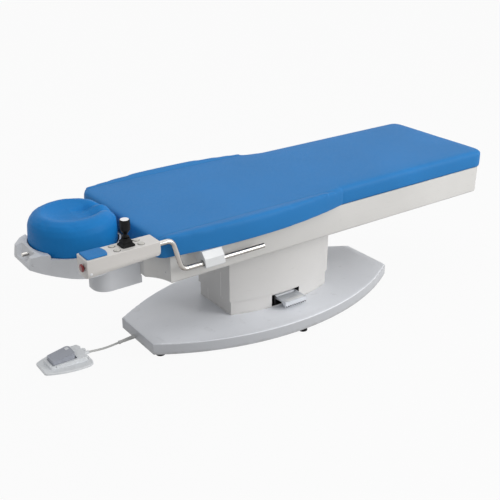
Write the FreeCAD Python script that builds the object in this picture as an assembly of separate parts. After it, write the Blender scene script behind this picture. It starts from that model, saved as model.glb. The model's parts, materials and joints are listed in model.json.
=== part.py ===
import FreeCAD, Part
import math
import os

# Eye-surgery operating table. Millimetres, +Z up, +X towards the foot end, origin on
# the floor under the middle of the base.

V = FreeCAD.Vector

# Base
BASE_HALF_LENGTH = 596.0
BASE_HALF_END = 125.0
BASE_HALF_MIDDLE = 305.0
BASE_BOTTOM = 20.0
BASE_TOP = 66.0
BASE_WALL = 4.0
BASE_EDGE = 6.0
PLATE_THICK = 8.0
PLATE_INSET = 0.3
FOOT_RADIUS = 18.0
FOOT_PAD = 12.0
FOOT_STEM_RADIUS = 6.0
FOOT_INSET = 40.0
FOOT_END_X = BASE_HALF_LENGTH - FOOT_INSET
FOOT_END_Y = 106.0
FOOT_SIDE_Y = 278.0

# Castors, drawn up inside the base
CASTOR_X = 430.0
CASTOR_Y = 125.0
WELL_RADIUS = 38.0
WHEEL_RADIUS = 18.0
WHEEL_WIDTH = 9.0
WHEEL_GAP = 4.0
WHEEL_LIFT = 4.0
CASTOR_TRAIL = 10.0
AXLE_RADIUS = 3.0
SWIVEL_RADIUS = 5.0
CARRIAGE_THICK = 5.0
CARRIAGE_BAR = 50.0
GUIDE_X = 330.0
GUIDE_RADIUS = 5.0

# Column
COLUMN_X = 8.0
COLUMN_HALF_LENGTH = 243.0
COLUMN_HALF_END = 112.0
COLUMN_HALF_MIDDLE = 156.0
COVER_WALL = 2.0
COVER_GAP = 1.0
COVER_END_SHARE = 1.2
COVER_CORNER_SHARE = 0.4
COVER_SEAM = 128.0
COVER_TOP = 385.0
COVER_STEP = 25.0
STAGE_PLATE = 6.0
MAST_WIDTH = 140.0
MAST_WALL = 6.0
MAST_GAP = 0.3
MAST_PAD = 2.0
MAST_STEP = 14.0
SPINDLE_RADIUS = 32.0
SPINDLE_WALL = 5.0

# Table top
PIVOT_Z = 440.0
PIVOT_RADIUS = 15.0
CHEEK_Y = 95.0
CHEEK_THICK = 12.0
HEAD_PLATE = 10.0
TOP_HALF_WIDTH = 277.0
TOP_FOOT_X = 975.0
TOP_HEAD_CORNER_X = -592.0
TOP_HEAD_X = -643.0
SHOULDER_BACK = 22.0
SHOULDER_IN = 65.0
SHOULDER_END_IN = 97.0
CASING_BOTTOM = 378.5
CASING_WALL = 4.0
CASING_FLANGE = 36.0
CASING_EDGE = 12.0
CASING_CORNER = 16.0
MATTRESS_BOTTOM = 495.0
MATTRESS_TOP = 565.5
MATTRESS_OVERLAP = 1.5
MATTRESS_HALF_WIDTH = TOP_HALF_WIDTH + MATTRESS_OVERLAP
MATTRESS_FOOT_OVERHANG = 30.0
MATTRESS_FOOT_X = TOP_FOOT_X + MATTRESS_FOOT_OVERHANG
MATTRESS_HEAD_X = -652.0
MATTRESS_KINK_X = 185.0
MATTRESS_PEAK_X = -270.0
MATTRESS_BOW = 59.5
MATTRESS_PEAK_Y = MATTRESS_HALF_WIDTH + MATTRESS_BOW
MATTRESS_CORNER = 38.0
WING_SLOPE = 0.25
BOARD_THICK = 10.0
BOARD_INSET = 18.0
RAIL_Y = 190.0
RAIL_WIDTH = 40.0
RAIL_HEIGHT = 46.0
RAIL_WALL = 3.0
RAIL_HEAD_X = -560.0
RAIL_FOOT_X = 940.0
CROSS_X = (-480.0, -160.0, 176.0, 560.0, 900.0)
MOTOR_X = 60.0
MOTOR_RISE = 24.0
MOTOR_RADIUS = 24.0
MOTOR_LENGTH = 110.0
MOTOR_STRAP = 60.0
BRACKET_X = (-420.0, 0.0, 420.0, 840.0)
BRACKET_WIDTH = 40.0
BRACKET_THICK = 4.0
BRACKET_DROP = 12.0
BRACKET_LEG = 34.0

# Head section
HEAD_X = -816.0
CUSHION_RADIUS = 155.0
CUSHION_TOP = 616.0
CUSHION_ROUND = 46.0
CUSHION_BOTTOM = 470.0
CUSHION_TRIM = 7.0
CUSHION_FLAT_X = HEAD_X + CUSHION_RADIUS - CUSHION_TRIM
DISH_RADIUS = 92.0
DISH_DEPTH = 22.0
DISH_FLAT = 12.0
TRAY_GAP = 2.0
TRAY_WALL = 6.0
TRAY_RIM = 520.0
TRAY_SIDE_RIM = 505.0
TRAY_STEP_X = HEAD_X - 131.0
TRAY_TRIM = 9.5
TRAY_FLAT_X = HEAD_X + CUSHION_RADIUS + TRAY_GAP + TRAY_WALL - TRAY_TRIM
TRAY_NOSE_X = HEAD_X - 193.0
TRAY_NOSE_HALF = 67.0
TRAY_SHOULDER_X = HEAD_X - 161.0
TRAY_SHOULDER_Y = 93.0
TRAY_BOTTOM = 425.0
TRAY_BOTTOM_RADIUS = 540.0
TRAY_BOTTOM_X = HEAD_X + 16.0
NOSE_LIP_Z = 476.0
NOSE_TOP_Z = 510.0
NOSE_SETBACK = 8.0
POCKET_LOW = 482.0
POCKET_HALF_LOW = 40.0
POCKET_HALF_HIGH = 61.0
RAMP_LOW = 18.0
RAMP_HIGH = 29.0
KNOB_PULL_Y = -12.0
KNOB_PULL_Z = 503.0
KNOB_PULL_RADIUS = 6.5
KNOB_PULL_LENGTH = 21.0
KNOB_PULL_SET = 3.5
KNOB_STEM_RADIUS = 3.0
KNOB_STEM_LENGTH = 12.0
TILT_X = -662.0
TILT_Z = 548.0
RUNNER_INNER = 150.0
RUNNER_OUTER = 170.0
RUNNER_THICK = 8.0
RUNNER_Y = 95.0
RUNNER_START = 8.0
RUNNER_END = 50.0
SLIDE_GAP = 0.3
BOX_HEAD_X = HEAD_X + 8.0
BOX_FRAME_X = TOP_HEAD_X + 3.0
BOX_HALF_WIDTH = 155.0
BOX_BOTTOM = 351.0
BOX_CORNER = 52.0
BOX_HOLLOW = 26.0
BOX_HOLLOW_HALF = 80.0
BOX_WALL = 3.0
SLOT_BLOCK_HEAD_X = HEAD_X + 41.0
SLOT_BLOCK_FOOT_X = HEAD_X + 101.0
SLOT_BLOCK_TOP = 412.0
SLOT_BLOCK_SIDE = 14.0

# Console arm
TUBE_RADIUS = 9.0
TUBE_WALL = 1.5
TUBE_OUT = 44.0
TUBE_Y = -TOP_HALF_WIDTH - TUBE_OUT
TUBE_LOW_Z = 448.0
TUBE_HIGH_Z = 565.0
TUBE_END_X = -232.0
TUBE_BEND = 30.0
TUBE_RISE_LOW_X = -572.0
TUBE_RISE_HIGH_X = -606.0
CLAMP_HEAD_X = -496.0
CLAMP_FOOT_X = -416.0
CLAMP_SLANT = 9.0
CLAMP_TOP = 494.0
CLAMP_BOTTOM = 432.0
BUSH_WALL = 2.0
PIN_GAP = 0.05
CONSOLE_HEAD_X = -926.0
CONSOLE_FOOT_X = -665.0
CONSOLE_WIDTH = 74.0
CONSOLE_Y = TUBE_Y + 8.0
CONSOLE_TOP = 585.5
CONSOLE_HEAD_HEIGHT = 68.0
CONSOLE_FOOT_HEIGHT = 56.0
CONSOLE_ROUND = 24.0
CONSOLE_TOP_ROUND = 4.0
PAD_FOOT_X = -853.0
PAD_BOW = 9.0
PAD_THICK = 5.0
PAD_MARGIN = 5.0
BUTTON_RADIUS = 10.5
BUTTON_HEIGHT = 2.5
BUTTON_WELL = 11.6
BUTTON_SPOTS = ((-811.0, 21.0), (-811.0, -16.0), (-724.0, 21.0), (-724.0, -14.0))
LID_THICK = 4.0
CONSOLE_WALL = 3.0
STOP_RADIUS = 13.0
STOP_Y = CONSOLE_Y - 12.0
STOP_TRAVEL = 4.0
STOP_HEIGHT = 6.0
STOP_Z = 556.0
STICK_X = -768.0
STICK_Y = CONSOLE_Y + 5.0
STICK_PIVOT = 10.0
STICK_WELL = 19.0
BOOT_BASE = 48.0
BOOT_PLATE = 4.0
BOOT_HEIGHT = 27.0
BOOT_WALL = 2.0
BOOT_TOP_RADIUS = 14.2
STICK_RADIUS = 4.0
KNOB_RADIUS = 18.0
KNOB_LOW = 42.0
KNOB_TOP = 88.0

# Castor pedal
PEDAL_X0 = -34.0
PEDAL_X1 = 71.0
PEDAL_BACK_Y = -150.0
PEDAL_FRONT_Y = -207.0
PEDAL_Z = 101.0
PEDAL_THICK = 4.0
PEDAL_LIP = 24.0
PEDAL_HINGE_Y = -128.0
PEDAL_PIN_RADIUS = 5.0
RECESS_X0 = -62.0
RECESS_X1 = 77.0
RECESS_LOW = 70.0
RECESS_HIGH = 120.0

# Cord of the foot switch, measured from the base's head end
CORD_RADIUS = 4.0
CORD_REACH = ((-190.0, 36.0, 20.0), (-152.0, 35.0, 15.0), (-106.0, 32.0, 15.0), (-67.0, 29.0, 21.0))
CORD_ROUTE = [(x - BASE_HALF_LENGTH, y, z) for x, y, z in CORD_REACH]
RELIEF_END = (-BASE_HALF_LENGTH, 22.0, 30.0)
RELIEF_RADIUS = 8.0

# Foot switch
SWITCH_Y = 47.0
GLAND_LENGTH = 6.0
SWITCH_LENGTH = 183.0
SWITCH_TOE_X = CORD_ROUTE[0][0] - GLAND_LENGTH
SWITCH_HEEL_X = SWITCH_TOE_X - SWITCH_LENGTH
SWITCH_HALF_HEEL = 45.0
SWITCH_HALF_MIDDLE = 71.0
SWITCH_HALF_TOE = 82.0
SWITCH_MIDDLE = 60.0
SWITCH_HEEL_CORNER = 14.0
SWITCH_TOE_CORNER = 26.0
SWITCH_PAD = 3.0
SWITCH_PAD_RADIUS = 9.0
SKIRT_TOP = 11.0
SKIRT_EDGE = 4.0
TIER_SETBACK = 26.0
TIER_TOE_GAP = 14.0
TIER_HALF_HEEL = 36.0
TIER_HALF_TOE = 52.0
TIER_HEEL_Z = 22.0
TIER_TOE_Z = 30.0
TIER_CORNER = 9.0
TREAD_SETBACK = 39.0
TREAD_LENGTH = 89.0
TREAD_HEEL_X = SWITCH_HEEL_X + TREAD_SETBACK
TREAD_TOE_X = TREAD_HEEL_X + TREAD_LENGTH
TREAD_HALF_HEEL = 28.5
TREAD_HALF_TOE = 36.5
TREAD_HEEL_Z = 37.5
TREAD_TOE_Z = 48.5
TREAD_HEEL_LOW = 14.0
TREAD_TOE_LOW = 22.0
TREAD_HEEL_CORNER = 5.0
TREAD_TOE_CORNER = 14.0
TREAD_GAP = 1.5
TREAD_TOE_GAP = 4.0
TREAD_PIN_BACK = 8.0
TREAD_PIN_Z = 19.0
TREAD_PIN_RADIUS = 2.5
BAY_FLOOR = 6.0
LOBES = ((-19.0, 37.0, 13.0), (-9.0, 9.0, 12.0))
LOBE_TOP = 27.0
LOBE_EDGE = 4.0


def save(name, shape):
    """Write one node."""
    shape.exportStep("parts/" + name + ".step")


def block(x0, x1, y0, y1, z0, z1):
    """A box between two corners."""
    return Part.makeBox(x1 - x0, y1 - y0, z1 - z0, V(x0, y0, z0))


def rod(x, y, z, radius, length, axis=(0, 0, 1)):
    """A cylinder that starts at a point."""
    return Part.makeCylinder(radius, length, V(x, y, z), V(*axis))


def joined(shapes):
    """One solid from several that touch."""
    whole = shapes[0]
    for shape in shapes[1:]:
        whole = whole.fuse(shape)
    return whole.removeSplitter()


def prism(edges, low, high):
    """A vertical prism on a closed outline that lies at height zero."""
    face = Part.Face(Part.Wire(Part.__sortEdges__(edges)))
    face.translate(V(0, 0, low))
    return face.extrude(V(0, 0, high - low))


def polygon(points):
    """The edges of a closed outline at height zero."""
    corners = [V(x, y, 0) for x, y in points]
    return [Part.LineSegment(a, b).toShape() for a, b in zip(corners, corners[1:] + corners[:1])]


def side_prism(points, y0, y1):
    """A prism along Y on an outline given as x and z."""
    corners = [V(x, y0, z) for x, z in points]
    wire = Part.makePolygon(corners + corners[:1])
    return Part.Face(wire).extrude(V(0, y1 - y0, 0))


def end_prism(points, x0, x1):
    """A prism along X on an outline given as y and z."""
    corners = [V(x0, y, z) for y, z in points]
    wire = Part.makePolygon(corners + corners[:1])
    return Part.Face(wire).extrude(V(x1 - x0, 0, 0))


def arc_edge(a, middle, b):
    """An arc at height zero through three points."""
    return Part.Arc(V(*a, 0), V(*middle, 0), V(*b, 0)).toShape()


def line_edge(a, b):
    """A line at height zero."""
    return Part.LineSegment(V(*a, 0), V(*b, 0)).toShape()


def lens(half_length, half_end, half_middle, centre_x=0.0):
    """A barrel outline: straight short ends and two bowed long sides."""
    x0, x1 = centre_x - half_length, centre_x + half_length
    return [
        arc_edge((x0, -half_end), (centre_x, -half_middle), (x1, -half_end)),
        line_edge((x1, -half_end), (x1, half_end)),
        arc_edge((x1, half_end), (centre_x, half_middle), (x0, half_end)),
        line_edge((x0, half_end), (x0, -half_end)),
    ]


def edges_where(shape, test):
    """The edges whose two ends both pass a test."""
    return [e for e in shape.Edges if len(e.Vertexes) == 2 and all(test(v.Point) for v in e.Vertexes)]


def near(value, target):
    return abs(value - target) < 0.01


def base_outline(inset):
    return lens(BASE_HALF_LENGTH - inset, BASE_HALF_END - inset, BASE_HALF_MIDDLE - inset)


def column_outline(offset):
    """The column's outline, grown by an offset for each cover that slides over the last."""
    half_length = COLUMN_HALF_LENGTH + offset * COVER_END_SHARE
    half_end = COLUMN_HALF_END + offset * COVER_CORNER_SHARE
    return lens(half_length, half_end, COLUMN_HALF_MIDDLE + offset, COLUMN_X)


def castor_spots():
    return [(sx * CASTOR_X, sy * CASTOR_Y) for sx in (-1, 1) for sy in (-1, 1)]


def foot_spots():
    ends = [(sx * FOOT_END_X, sy * FOOT_END_Y) for sx in (-1, 1) for sy in (-1, 1)]
    return ends + [(0.0, -FOOT_SIDE_Y), (0.0, FOOT_SIDE_Y)]


def guide_spots():
    return [(sx * GUIDE_X, sy * CASTOR_Y) for sx in (-1, 1) for sy in (-1, 1)]


# Base

def base_housing():
    """The cover of the base: a bowed tray turned over, open below."""
    outer = prism(base_outline(0), BASE_BOTTOM, BASE_TOP)
    rim = [e for e in outer.Edges if all(near(v.Point.z, BASE_TOP) for v in e.Vertexes)]
    outer = outer.makeFillet(BASE_EDGE, rim)
    inner = prism(base_outline(BASE_WALL), BASE_BOTTOM, BASE_TOP - BASE_WALL)
    half = MAST_WIDTH / 2 + COVER_GAP
    hole = block(COLUMN_X - half, COLUMN_X + half, -half, half, BASE_BOTTOM, BASE_TOP)
    return outer.cut(inner).cut(hole)


def base_plate():
    """The steel floor of the base, with a round well over each castor."""
    low, high = BASE_BOTTOM, BASE_BOTTOM + PLATE_THICK
    plate = prism(base_outline(BASE_WALL + PLATE_INSET), low, high)
    for x, y in castor_spots():
        plate = plate.cut(rod(x, y, low, WELL_RADIUS, PLATE_THICK))
    for x, y in foot_spots():
        plate = plate.cut(rod(x, y, low, FOOT_STEM_RADIUS, PLATE_THICK))
    ribs_top = BASE_TOP - BASE_WALL
    for x in (-1, 1):
        rib = block(x * 235 - 3, x * 235 + 3, -100, 100, high, ribs_top)
        plate = plate.fuse(rib)
    return plate.removeSplitter()


def foot_pads():
    """The rubber discs under the six levelling feet and under the foot switch."""
    pads = [rod(x, y, 0, SWITCH_PAD_RADIUS, SWITCH_PAD) for x, y in switch_pad_spots()]
    for x, y in foot_spots():
        pad = rod(x, y, 0, FOOT_RADIUS, FOOT_PAD)
        pads.append(pad.makeFillet(2.0, [e for e in pad.Edges if near(e.CenterOfMass.z, FOOT_PAD)]))
    return Part.makeCompound(pads)


def foot_screws():
    """The feet's threaded stems, each with a collar below and a lock nut above the floor plate."""
    low, top = BASE_BOTTOM, BASE_BOTTOM + PLATE_THICK
    solids = []
    for x, y in foot_spots():
        collar = rod(x, y, FOOT_PAD, FOOT_STEM_RADIUS + 3, low - FOOT_PAD)
        solids.append(joined([collar, rod(x, y, low, FOOT_STEM_RADIUS, PLATE_THICK + 12)]))
        turns = [math.radians(60 * i) for i in range(6)]
        nut = prism(polygon([(x + 10 * math.cos(a), y + 10 * math.sin(a)) for a in turns]), top, top + 7)
        solids.append(nut.cut(rod(x, y, top, FOOT_STEM_RADIUS, 7)))
    return Part.makeCompound(solids)


def carriage_z():
    return BASE_TOP - BASE_WALL - CARRIAGE_THICK - 6.0


def castor_carriage():
    """The frame that lowers all four castors together, on four guide pins."""
    low, high = carriage_z(), carriage_z() + CARRIAGE_THICK
    bars = []
    reach = CASTOR_X + 24
    for s in (-1, 1):
        y0 = s * CASTOR_Y - CARRIAGE_BAR / 2
        bars.append(block(-reach, reach, y0, y0 + CARRIAGE_BAR, low, high))
        bars.append(block(s * CASTOR_X - 15, s * CASTOR_X + 15, -CASTOR_Y, CASTOR_Y, low, high))
    frame = joined(bars)
    for x, y in guide_spots():
        frame = frame.cut(rod(x, y, low, GUIDE_RADIUS + PIN_GAP, CARRIAGE_THICK))
    for x, y in castor_spots():
        frame = frame.cut(rod(x, y, low, SWIVEL_RADIUS + PIN_GAP, CARRIAGE_THICK))
    return frame


def carriage_guides():
    """The four pins that the castor carriage slides on."""
    low = BASE_BOTTOM + PLATE_THICK
    pins = [rod(x, y, low, GUIDE_RADIUS, BASE_TOP - BASE_WALL - low) for x, y in guide_spots()]
    return Part.makeCompound(pins)


def axle_z():
    return WHEEL_LIFT + WHEEL_RADIUS


def castor_fork(x, y):
    """A castor's hood and swivel pin, with the axle between the two wheels."""
    top = carriage_z() - SLIDE_GAP
    hub = rod(x, y, top - 4, 12, 4)
    pin = rod(x, y, top, SWIVEL_RADIUS, CARRIAGE_THICK + 4 + SLIDE_GAP)
    head = rod(x, y, carriage_z() + CARRIAGE_THICK + SLIDE_GAP, SWIVEL_RADIUS + 3, 3)
    web = block(x - CASTOR_TRAIL - 5, x + 8, y - WHEEL_GAP / 2 + 0.4, y + WHEEL_GAP / 2 - 0.4, axle_z() - 5, top)
    length = 2 * WHEEL_WIDTH + WHEEL_GAP
    axle = rod(x - CASTOR_TRAIL, y - length / 2, axle_z(), AXLE_RADIUS, length, (0, 1, 0))
    return joined([hub, pin, head, web, axle])


def castor_wheel(x, y):
    """The pair of wheels of one castor, turning on one axle."""
    wheels = []
    for side in (-1, 1):
        y0 = y + WHEEL_GAP / 2 if side > 0 else y - WHEEL_GAP / 2 - WHEEL_WIDTH
        wheel = rod(x - CASTOR_TRAIL, y0, axle_z(), WHEEL_RADIUS, WHEEL_WIDTH, (0, 1, 0))
        wheel = wheel.makeFillet(2.0, [e for e in wheel.Edges if near(e.Length, 2 * math.pi * WHEEL_RADIUS)])
        bore = rod(x - CASTOR_TRAIL, y0, axle_z(), AXLE_RADIUS + PIN_GAP, WHEEL_WIDTH, (0, 1, 0))
        wheels.append(wheel.cut(bore))
    return Part.makeCompound(wheels)


# Column

def cover(offset, low, high):
    """One telescopic cover: a bowed sheet tube, open at both ends."""
    outer = prism(column_outline(offset), low, high)
    inner = prism(column_outline(offset - COVER_WALL), low, high)
    return outer.cut(inner)


def cover_offset(step):
    return step * (COVER_WALL + COVER_GAP)


def cover_lower():
    """The fixed cover, with the pedal's opening in its near side."""
    shell = cover(cover_offset(0), BASE_TOP, COVER_TOP - 2 * COVER_STEP)
    return shell.cut(block(RECESS_X0, RECESS_X1, -200, -100, RECESS_LOW, RECESS_HIGH))


def cover_middle():
    return cover(cover_offset(1), COVER_SEAM + 1, COVER_TOP - COVER_STEP)


def cover_upper():
    return cover(cover_offset(2), COVER_SEAM, COVER_TOP)


def square_bar(half, low, high):
    """A square bar about the column's middle line, with rounded corners."""
    body = block(COLUMN_X - half, COLUMN_X + half, -half, half, low, high)
    return body.makeFillet(6.0, vertical_edges(body))


def square_tube(width, wall, low, high):
    """A square mast section."""
    return square_bar(width / 2, low, high).cut(square_bar(width / 2 - wall, low, high))


def vertical_edges(shape):
    """The straight upright edges of a shape."""
    return [e for e in shape.Edges if len(e.Vertexes) == 2
            and near(e.Vertexes[0].Point.x, e.Vertexes[1].Point.x)
            and near(e.Vertexes[0].Point.y, e.Vertexes[1].Point.y)]


def mast_width(step):
    return MAST_WIDTH - 2 * step * (MAST_WALL + MAST_PAD)


def mast_floor():
    return BASE_BOTTOM + PLATE_THICK


def mast_lower():
    return square_tube(mast_width(0), MAST_WALL, mast_floor(), COVER_TOP - 2 * COVER_STEP - STAGE_PLATE)


def mast_middle():
    """The middle mast and the plate on it that carries the middle cover."""
    top = COVER_TOP - COVER_STEP
    mast = square_tube(mast_width(1), MAST_WALL, mast_floor() + MAST_STEP, top)
    plate = prism(column_outline(cover_offset(1) - COVER_WALL), top - STAGE_PLATE, top)
    hole = mast_width(1) / 2 - MAST_WALL
    plate = plate.cut(block(COLUMN_X - hole, COLUMN_X + hole, -hole, hole, top - STAGE_PLATE, top))
    return joined([mast, plate] + glide_pads(0, mast_floor() + MAST_STEP))


def mast_upper():
    """The inmost mast, under the column head."""
    mast = square_tube(mast_width(2), MAST_WALL, mast_floor() + 2 * MAST_STEP, COVER_TOP - HEAD_PLATE)
    return joined([mast] + glide_pads(1, mast_floor() + 2 * MAST_STEP))


def glide_pads(step, z):
    """Raised guide pads between two mast sections, on the foot of the inner one."""
    outer = mast_width(step) / 2 - MAST_WALL - MAST_GAP / 2
    inner = mast_width(step + 1) / 2
    pads = []
    for sx, sy in ((1, 0), (-1, 0), (0, 1), (0, -1)):
        x0, x1 = (inner, outer) if sx > 0 else (-outer, -inner)
        y0, y1 = (inner, outer) if sy > 0 else (-outer, -inner)
        if sx:
            pads.append(block(COLUMN_X + x0, COLUMN_X + x1, -25, 25, z, z + 40))
        else:
            pads.append(block(COLUMN_X - 25, COLUMN_X + 25, y0, y1, z, z + 40))
    return pads


def spindle_tube(step, low, high):
    """One stage of the telescopic lifting spindle."""
    outer = SPINDLE_RADIUS - step * (SPINDLE_WALL + SLIDE_GAP)
    shell = rod(COLUMN_X, 0, low, outer, high - low)
    return shell.cut(rod(COLUMN_X, 0, low, outer - SPINDLE_WALL, high - low))


def spindle_lower():
    return spindle_tube(0, mast_floor(), COVER_TOP - 2 * COVER_STEP - 10)


def spindle_middle():
    return spindle_tube(1, mast_floor() + MAST_STEP, COVER_TOP - COVER_STEP - 10)


def spindle_rod():
    """The inmost spindle stage, under the column head."""
    outer = SPINDLE_RADIUS - 2 * (SPINDLE_WALL + SLIDE_GAP)
    low = mast_floor() + 2 * MAST_STEP
    return rod(COLUMN_X, 0, low, outer, COVER_TOP - HEAD_PLATE - low)


# Table top

def column_head():
    """The column head: a plate with two cheeks that carry the tilt shaft."""
    plate = prism(column_outline(cover_offset(2) - COVER_WALL), COVER_TOP - HEAD_PLATE, COVER_TOP)
    parts = [plate]
    for side in (-1, 1):
        y0 = side * CHEEK_Y - CHEEK_THICK / 2
        foot = side_prism([(COLUMN_X - 60, COVER_TOP), (COLUMN_X + 60, COVER_TOP), (COLUMN_X + 24, PIVOT_Z),
                           (COLUMN_X - 24, PIVOT_Z)], y0, y0 + CHEEK_THICK)
        ring = rod(COLUMN_X, y0, PIVOT_Z, 24, CHEEK_THICK, (0, 1, 0))
        parts += [foot, ring]
    head = joined(parts)
    return head.cut(rod(COLUMN_X, -200, PIVOT_Z, PIVOT_RADIUS + PIN_GAP, 400, (0, 1, 0)))


def tilt_shaft():
    """The shaft across the column head, held by the top's lugs."""
    reach = CHEEK_Y + CHEEK_THICK / 2 + 16
    return rod(COLUMN_X, -reach, PIVOT_Z, PIVOT_RADIUS, 2 * reach, (0, 1, 0))


def rail_low():
    return MATTRESS_BOTTOM - RAIL_HEIGHT


def hollow_bar(x0, x1, y0, y1, z0, z1):
    """A rectangular tube, open at its ends along its longer side."""
    bar = block(x0, x1, y0, y1, z0, z1)
    w = RAIL_WALL
    if x1 - x0 > y1 - y0:
        return bar.cut(block(x0, x1, y0 + w, y1 - w, z0 + w, z1 - w))
    return bar.cut(block(x0 + w, x1 - w, y0, y1, z0 + w, z1 - w))


def top_frame():
    """The welded frame of the top: two rails, cross members and the tilt lugs, each a tube or block of its own."""
    low, high = rail_low(), MATTRESS_BOTTOM
    half = RAIL_WIDTH / 2
    bars = []
    for side in (-1, 1):
        y = side * RAIL_Y
        bars.append(hollow_bar(RAIL_HEAD_X, RAIL_FOOT_X, y - half, y + half, low, high))
    for x in CROSS_X:
        bars.append(hollow_bar(x - half, x + half, -RAIL_Y + half, RAIL_Y - half, low, high))
    for side in (-1, 1):
        y0 = side * (CHEEK_Y + CHEEK_THICK / 2 + 9) - 8
        lug = side_prism([(COLUMN_X - 30, high), (COLUMN_X + 30, high), (COLUMN_X + 22, PIVOT_Z),
                          (COLUMN_X - 22, PIVOT_Z)], y0, y0 + 16)
        ring = rod(COLUMN_X, y0, PIVOT_Z, 22, 16, (0, 1, 0))
        inner, outer = sorted((side * (RAIL_Y - half), y0 + 8))
        arm = block(COLUMN_X - 30, COLUMN_X + 30, inner, outer, high - 14, high)
        bore = rod(COLUMN_X, -200, PIVOT_Z, PIVOT_RADIUS + PIN_GAP, 400, (0, 1, 0))
        bars.append(joined([lug, ring, arm]).cut(bore))
    return Part.makeCompound(bars)


def tilt_motor():
    """The gear motor of the tilt, hung from the cross member on the foot side of the column."""
    axis_x, axis_z = COLUMN_X + MOTOR_X, PIVOT_Z + MOTOR_RISE
    body = rod(axis_x, -MOTOR_LENGTH / 2, axis_z, MOTOR_RADIUS, MOTOR_LENGTH, (0, 1, 0))
    cross = CROSS_X[2] - RAIL_WIDTH / 2
    strap = block(axis_x - MOTOR_RADIUS, cross, -MOTOR_STRAP / 2, MOTOR_STRAP / 2, axis_z, axis_z + MOTOR_RADIUS)
    return joined([body, strap])


def casing_outline(inset):
    """The outline of the side casing: straight sides and ends, with hollow shoulders at the head end."""
    y = TOP_HALF_WIDTH - inset
    foot = TOP_FOOT_X - inset
    corner, head = TOP_HEAD_CORNER_X + inset, TOP_HEAD_X + inset
    end_y = TOP_HALF_WIDTH - SHOULDER_END_IN - 0.6 * inset
    middle = (TOP_HEAD_CORNER_X - SHOULDER_BACK + 0.9 * inset, TOP_HALF_WIDTH - SHOULDER_IN - 0.45 * inset)
    return [
        line_edge((corner, -y), (foot, -y)),
        line_edge((foot, -y), (foot, y)),
        line_edge((foot, y), (corner, y)),
        arc_edge((corner, y), middle, (head, end_y)),
        line_edge((head, end_y), (head, -end_y)),
        arc_edge((head, -end_y), (middle[0], -middle[1]), (corner, -y)),
    ]


def casing_solid(inset):
    """The casing's outer or inner form: rounded at the foot corners and along the lower edge."""
    low = CASING_BOTTOM + inset
    foot = TOP_FOOT_X - inset
    solid = prism(casing_outline(inset), low, MATTRESS_BOTTOM)
    corners = [e for e in vertical_edges(solid) if near(e.Vertexes[0].Point.x, foot)]
    solid = solid.makeFillet(CASING_CORNER - inset, corners)
    return solid.makeFillet(CASING_EDGE - inset, edges_where(solid, lambda p: near(p.z, low)))


def side_casing():
    """The pressed casing round the frame, open on top and flanged in below."""
    outer = casing_solid(0)
    inner = casing_solid(CASING_WALL)
    opening = prism(casing_outline(CASING_FLANGE), CASING_BOTTOM, CASING_BOTTOM + CASING_WALL)
    return outer.cut(inner).cut(opening)


def casing_brackets():
    """Angle brackets that hang the casing from the rails."""
    brackets = []
    shelf = MATTRESS_BOTTOM - BRACKET_DROP
    for x in BRACKET_X:
        x0, x1 = x - BRACKET_WIDTH / 2, x + BRACKET_WIDTH / 2
        for side in (-1, 1):
            inner = side * (RAIL_Y + RAIL_WIDTH / 2)
            outer = side * (TOP_HALF_WIDTH - CASING_WALL)
            y0, y1 = sorted((inner, outer))
            flat = block(x0, x1, y0, y1, shelf - BRACKET_THICK, shelf)
            y0, y1 = sorted((outer, outer - side * BRACKET_THICK))
            leg = block(x0, x1, y0, y1, shelf - BRACKET_LEG, shelf)
            brackets.append(joined([flat, leg]))
    return Part.makeCompound(brackets)


def bulge_radius():
    rise = MATTRESS_PEAK_Y - MATTRESS_HALF_WIDTH
    run = MATTRESS_KINK_X - MATTRESS_PEAK_X
    return (run * run + rise * rise) / (2 * rise)


def bulge_y(x, inset=0.0):
    """Half the mattress's width on the bowed stretch of its sides."""
    r = bulge_radius() - inset
    centre = MATTRESS_PEAK_Y - bulge_radius()
    return centre + math.sqrt(r * r - (x - MATTRESS_PEAK_X) ** 2)


def mattress_outline(inset):
    """The outline of the mattress: parallel at the legs, bowed at the shoulders."""
    head, foot = MATTRESS_HEAD_X + inset, MATTRESS_FOOT_X - inset
    y = MATTRESS_HALF_WIDTH - inset
    kink, peak = MATTRESS_KINK_X, MATTRESS_PEAK_X
    top = MATTRESS_PEAK_Y - inset
    head_y = bulge_y(head, inset)
    return [
        line_edge((foot, -y), (foot, y)),
        line_edge((foot, y), (kink, y)),
        arc_edge((kink, y), (peak, top), (head, head_y)),
        line_edge((head, head_y), (head, -head_y)),
        arc_edge((head, -head_y), (peak, -top), (kink, -y)),
        line_edge((kink, -y), (foot, -y)),
    ]


def mattress_slab(inset, low, high, corner):
    """A slab on the mattress's outline with rounded corners in plan."""
    slab = prism(mattress_outline(inset), low, high)
    ends = [e for e in vertical_edges(slab) if abs(e.Vertexes[0].Point.x - MATTRESS_KINK_X) > 20]
    return slab.makeFillet(corner, ends)


def mattress():
    """The one-piece mattress; its shoulder wings rise to the outer edge."""
    peak_top = MATTRESS_TOP + (MATTRESS_PEAK_Y - TOP_HALF_WIDTH) * WING_SLOPE
    slab = mattress_slab(0, MATTRESS_BOTTOM, peak_top + 1, MATTRESS_CORNER)
    far = 400.0
    rise = MATTRESS_TOP + (far - TOP_HALF_WIDTH) * WING_SLOPE
    above = end_prism([(-far, 700), (-far, rise), (-TOP_HALF_WIDTH, MATTRESS_TOP), (TOP_HALF_WIDTH, MATTRESS_TOP),
                       (far, rise), (far, 700)], -1100, 1100)
    body = slab.cut(above)
    pocket = mattress_slab(BOARD_INSET, MATTRESS_BOTTOM, MATTRESS_BOTTOM + BOARD_THICK, MATTRESS_CORNER - BOARD_INSET)
    return body.cut(pocket)


def mattress_board():
    """The board let into the mattress's underside."""
    return mattress_slab(BOARD_INSET, MATTRESS_BOTTOM, MATTRESS_BOTTOM + BOARD_THICK, MATTRESS_CORNER - BOARD_INSET)


# Head section

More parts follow.
